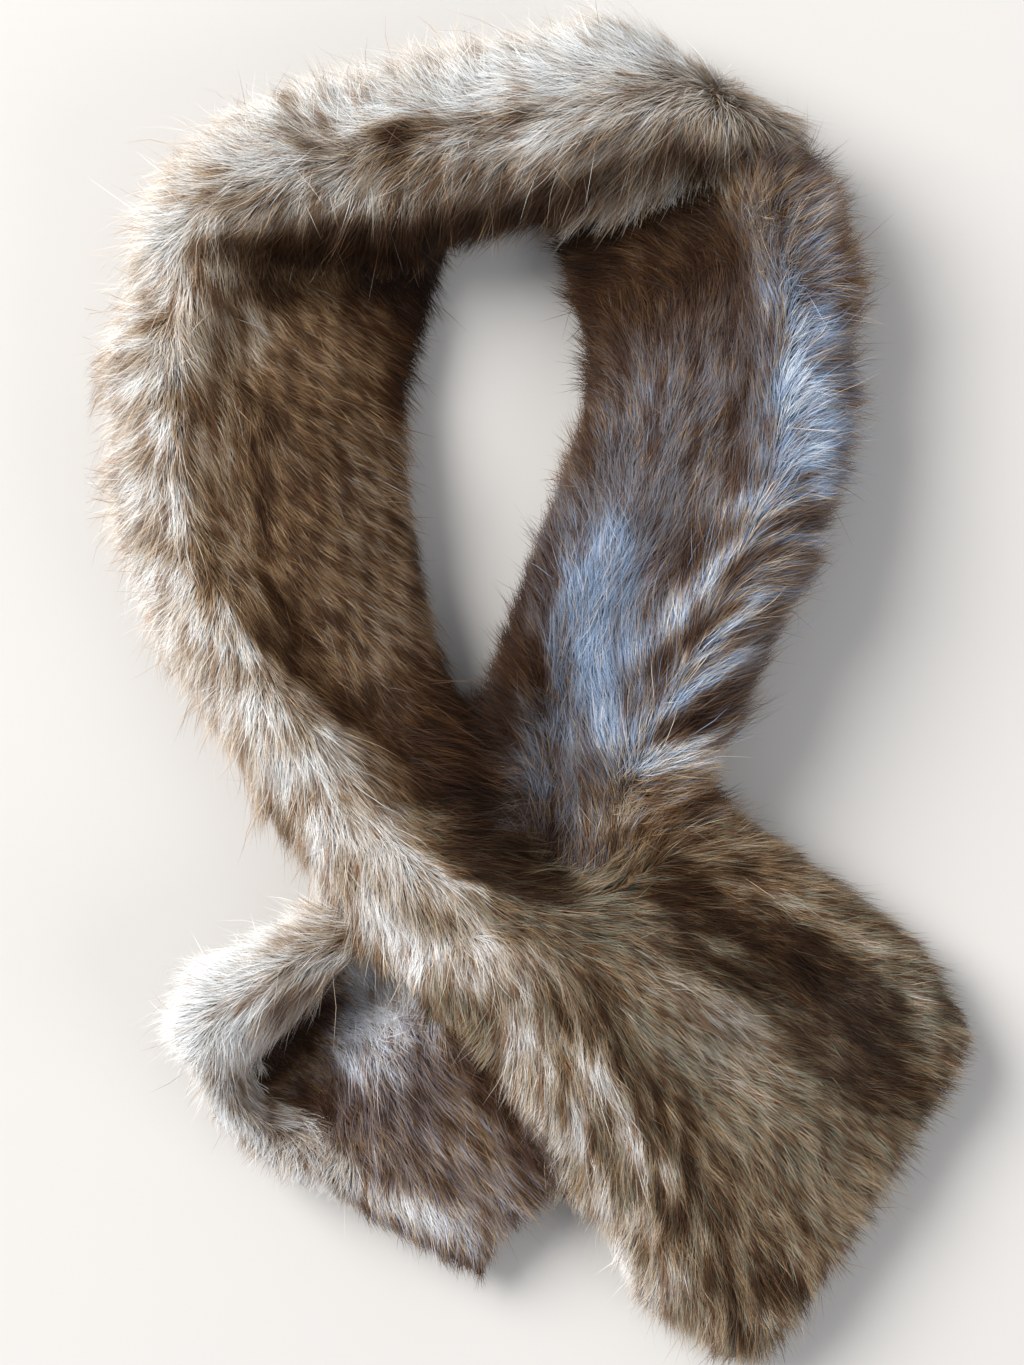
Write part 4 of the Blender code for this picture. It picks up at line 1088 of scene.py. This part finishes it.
def strand_material(name, kind):
    """Hair whose root to tip runs along V.

    Along U come four stretches of tone: cool, cool with dark tips, warm, and warm with dark tips.
    """
    material, tree, shader = new_material(f"{name}_{kind.name}", roughness=0.48, specular=0.11)
    place = tree.nodes.new("ShaderNodeUVMap")
    place.uv_map = "OFBake"
    split = tree.nodes.new("ShaderNodeSeparateXYZ")
    tree.links.new(place.outputs[0], split.inputs[0])
    u, v = split.outputs[0], split.outputs[1]
    tone = maths(tree, "FRACT", maths(tree, "MULTIPLY", u, 4.0))
    half = maths(tree, "FRACT", maths(tree, "MULTIPLY", u, 2.0))
    warm = maths(tree, "GREATER_THAN", u, 0.5)
    tipped = maths(tree, "GREATER_THAN", half, 0.5)
    cool_colour, warm_colour = (ramp(tree, tone, stops) for stops in (COOL[name], WARM))
    colour = mixed(tree, "MIX", warm, cool_colour, warm_colour)
    # Painted shade: each strand darkens towards its root, standing in for the shade deep in the coat.
    middle = 0.5 + 0.5 * kind.shade
    shade = ramp(tree, v, ((0.0, kind.shade), (0.35, middle), (0.65, 1.0), (1.0, 1.0)))
    colour = mixed(tree, "MULTIPLY", 1.0, colour, shade)
    share = maths(tree, "MULTIPLY", ramp(tree, v, TIP_STOPS), tipped)
    cool_dark, warm_dark = (ramp(tree, tone, stops) for stops in (COOL_TIPS[name], RUSTY))
    dark = mixed(tree, "MIX", warm, cool_dark, warm_dark)
    colour = mixed(tree, "MIX", share, colour, dark)
    tree.links.new(colour, shader.inputs["Base Color"])
    return material


def skin_material(name):
    """The short underfur close to the knitted backing, darkened as painted shade deep in the coat."""
    material, tree, shader = new_material(f"{name}_underfur", roughness=0.95, specular=0.1)
    patchy = maths(tree, "MULTIPLY", noise(tree, scale=60, detail=3), 0.7)
    fluff = noise(tree, scale=700, detail=4)
    value = maths(tree, "ADD", patchy, maths(tree, "MULTIPLY", fluff, 0.45))
    # Painted shade: the warm tones, darkened for the depth under the strands.
    dark = [tuple(UNDERFUR_PAINTED_SHADE * c for c in colour) for _, colour in WARM[1:5]]
    colour = ramp(tree, value, list(zip(UNDERFUR_PLACES, dark)))
    tree.links.new(colour, shader.inputs["Base Color"])
    bump = tree.nodes.new("ShaderNodeBump")
    bump.inputs["Strength"].default_value = 0.8
    bump.inputs["Distance"].default_value = 0.0015
    tree.links.new(fluff, bump.inputs["Height"])
    tree.links.new(bump.outputs[0], shader.inputs["Normal"])
    return material


def floor_material():
    material, tree, shader = new_material("paper_floor", roughness=0.9, specular=0.1)
    stops = ((0.3, (0.61, 0.59, 0.565)), (0.7, (0.63, 0.61, 0.585)))
    colour = ramp(tree, noise(tree, scale=3, detail=2), stops)
    tree.links.new(colour, shader.inputs["Base Color"])
    return material


# Assembly

FLOOR_HALF = 3.0


def add(name, mesh, material):
    obj = bpy.data.objects.new(name, mesh)
    bpy.context.scene.collection.objects.link(obj)
    mesh.materials.clear()
    mesh.materials.append(material)
    return obj


def dress():
    for number, (name, (mesh, skin)) in enumerate(skin_pieces().items()):
        base = add(f"{name}_skin", mesh, skin_material(name))
        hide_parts(name)
        coats = []
        for kind in KINDS:
            fur = coat_mesh(name, kind, skin, SEED + 10 * number + kind.segments)
            coats.append(add(f"{name}_{kind.name}", fur, strand_material(name, kind)))
        for obj in (base, *coats):
            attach(obj, "root")


def area_light(name, place, size, power, colour):
    """A round light that faces the wrap."""
    light = bpy.data.lights.new(name, "AREA")
    light.shape, light.size, light.energy, light.color = "DISK", size, power, colour
    obj = bpy.data.objects.new(name, light)
    obj.location = place
    obj.rotation_euler = (-Vector(place)).to_track_quat("-Z", "Y").to_euler()
    bpy.context.scene.collection.objects.link(obj)


def studio():
    floor = bpy.data.meshes.new("floor")
    corners = [(x * FLOOR_HALF, y * FLOOR_HALF, 0) for x, y in ((-1, -1), (1, -1), (1, 1), (-1, 1))]
    floor.from_pydata(corners, [], [(0, 1, 2, 3)])
    add("floor", floor, floor_material())

    area_light("key", (-3.1, 1.9, 3.0), size=3.2, power=350, colour=(1.0, 0.99, 0.975))
    area_light("fill", (3.4, -1.8, 2.6), size=3.0, power=60, colour=(0.95, 0.975, 1.0))
    world = bpy.data.worlds.new("studio")
    world.use_nodes = True
    background = world.node_tree.nodes["Background"]
    background.inputs["Color"].default_value = (0.93, 0.95, 1.0, 1)
    background.inputs["Strength"].default_value = 0.50
    bpy.context.scene.world = world

    camera = bpy.data.cameras.new("camera")
    camera.sensor_width, camera.lens = SENSOR, LENS
    obj = bpy.data.objects.new("camera", camera)
    obj.location = CAMERA_PLACE
    bpy.context.scene.collection.objects.link(obj)
    bpy.context.scene.camera = obj
    bpy.context.scene.view_settings.view_transform = "Standard"


dress()
studio()
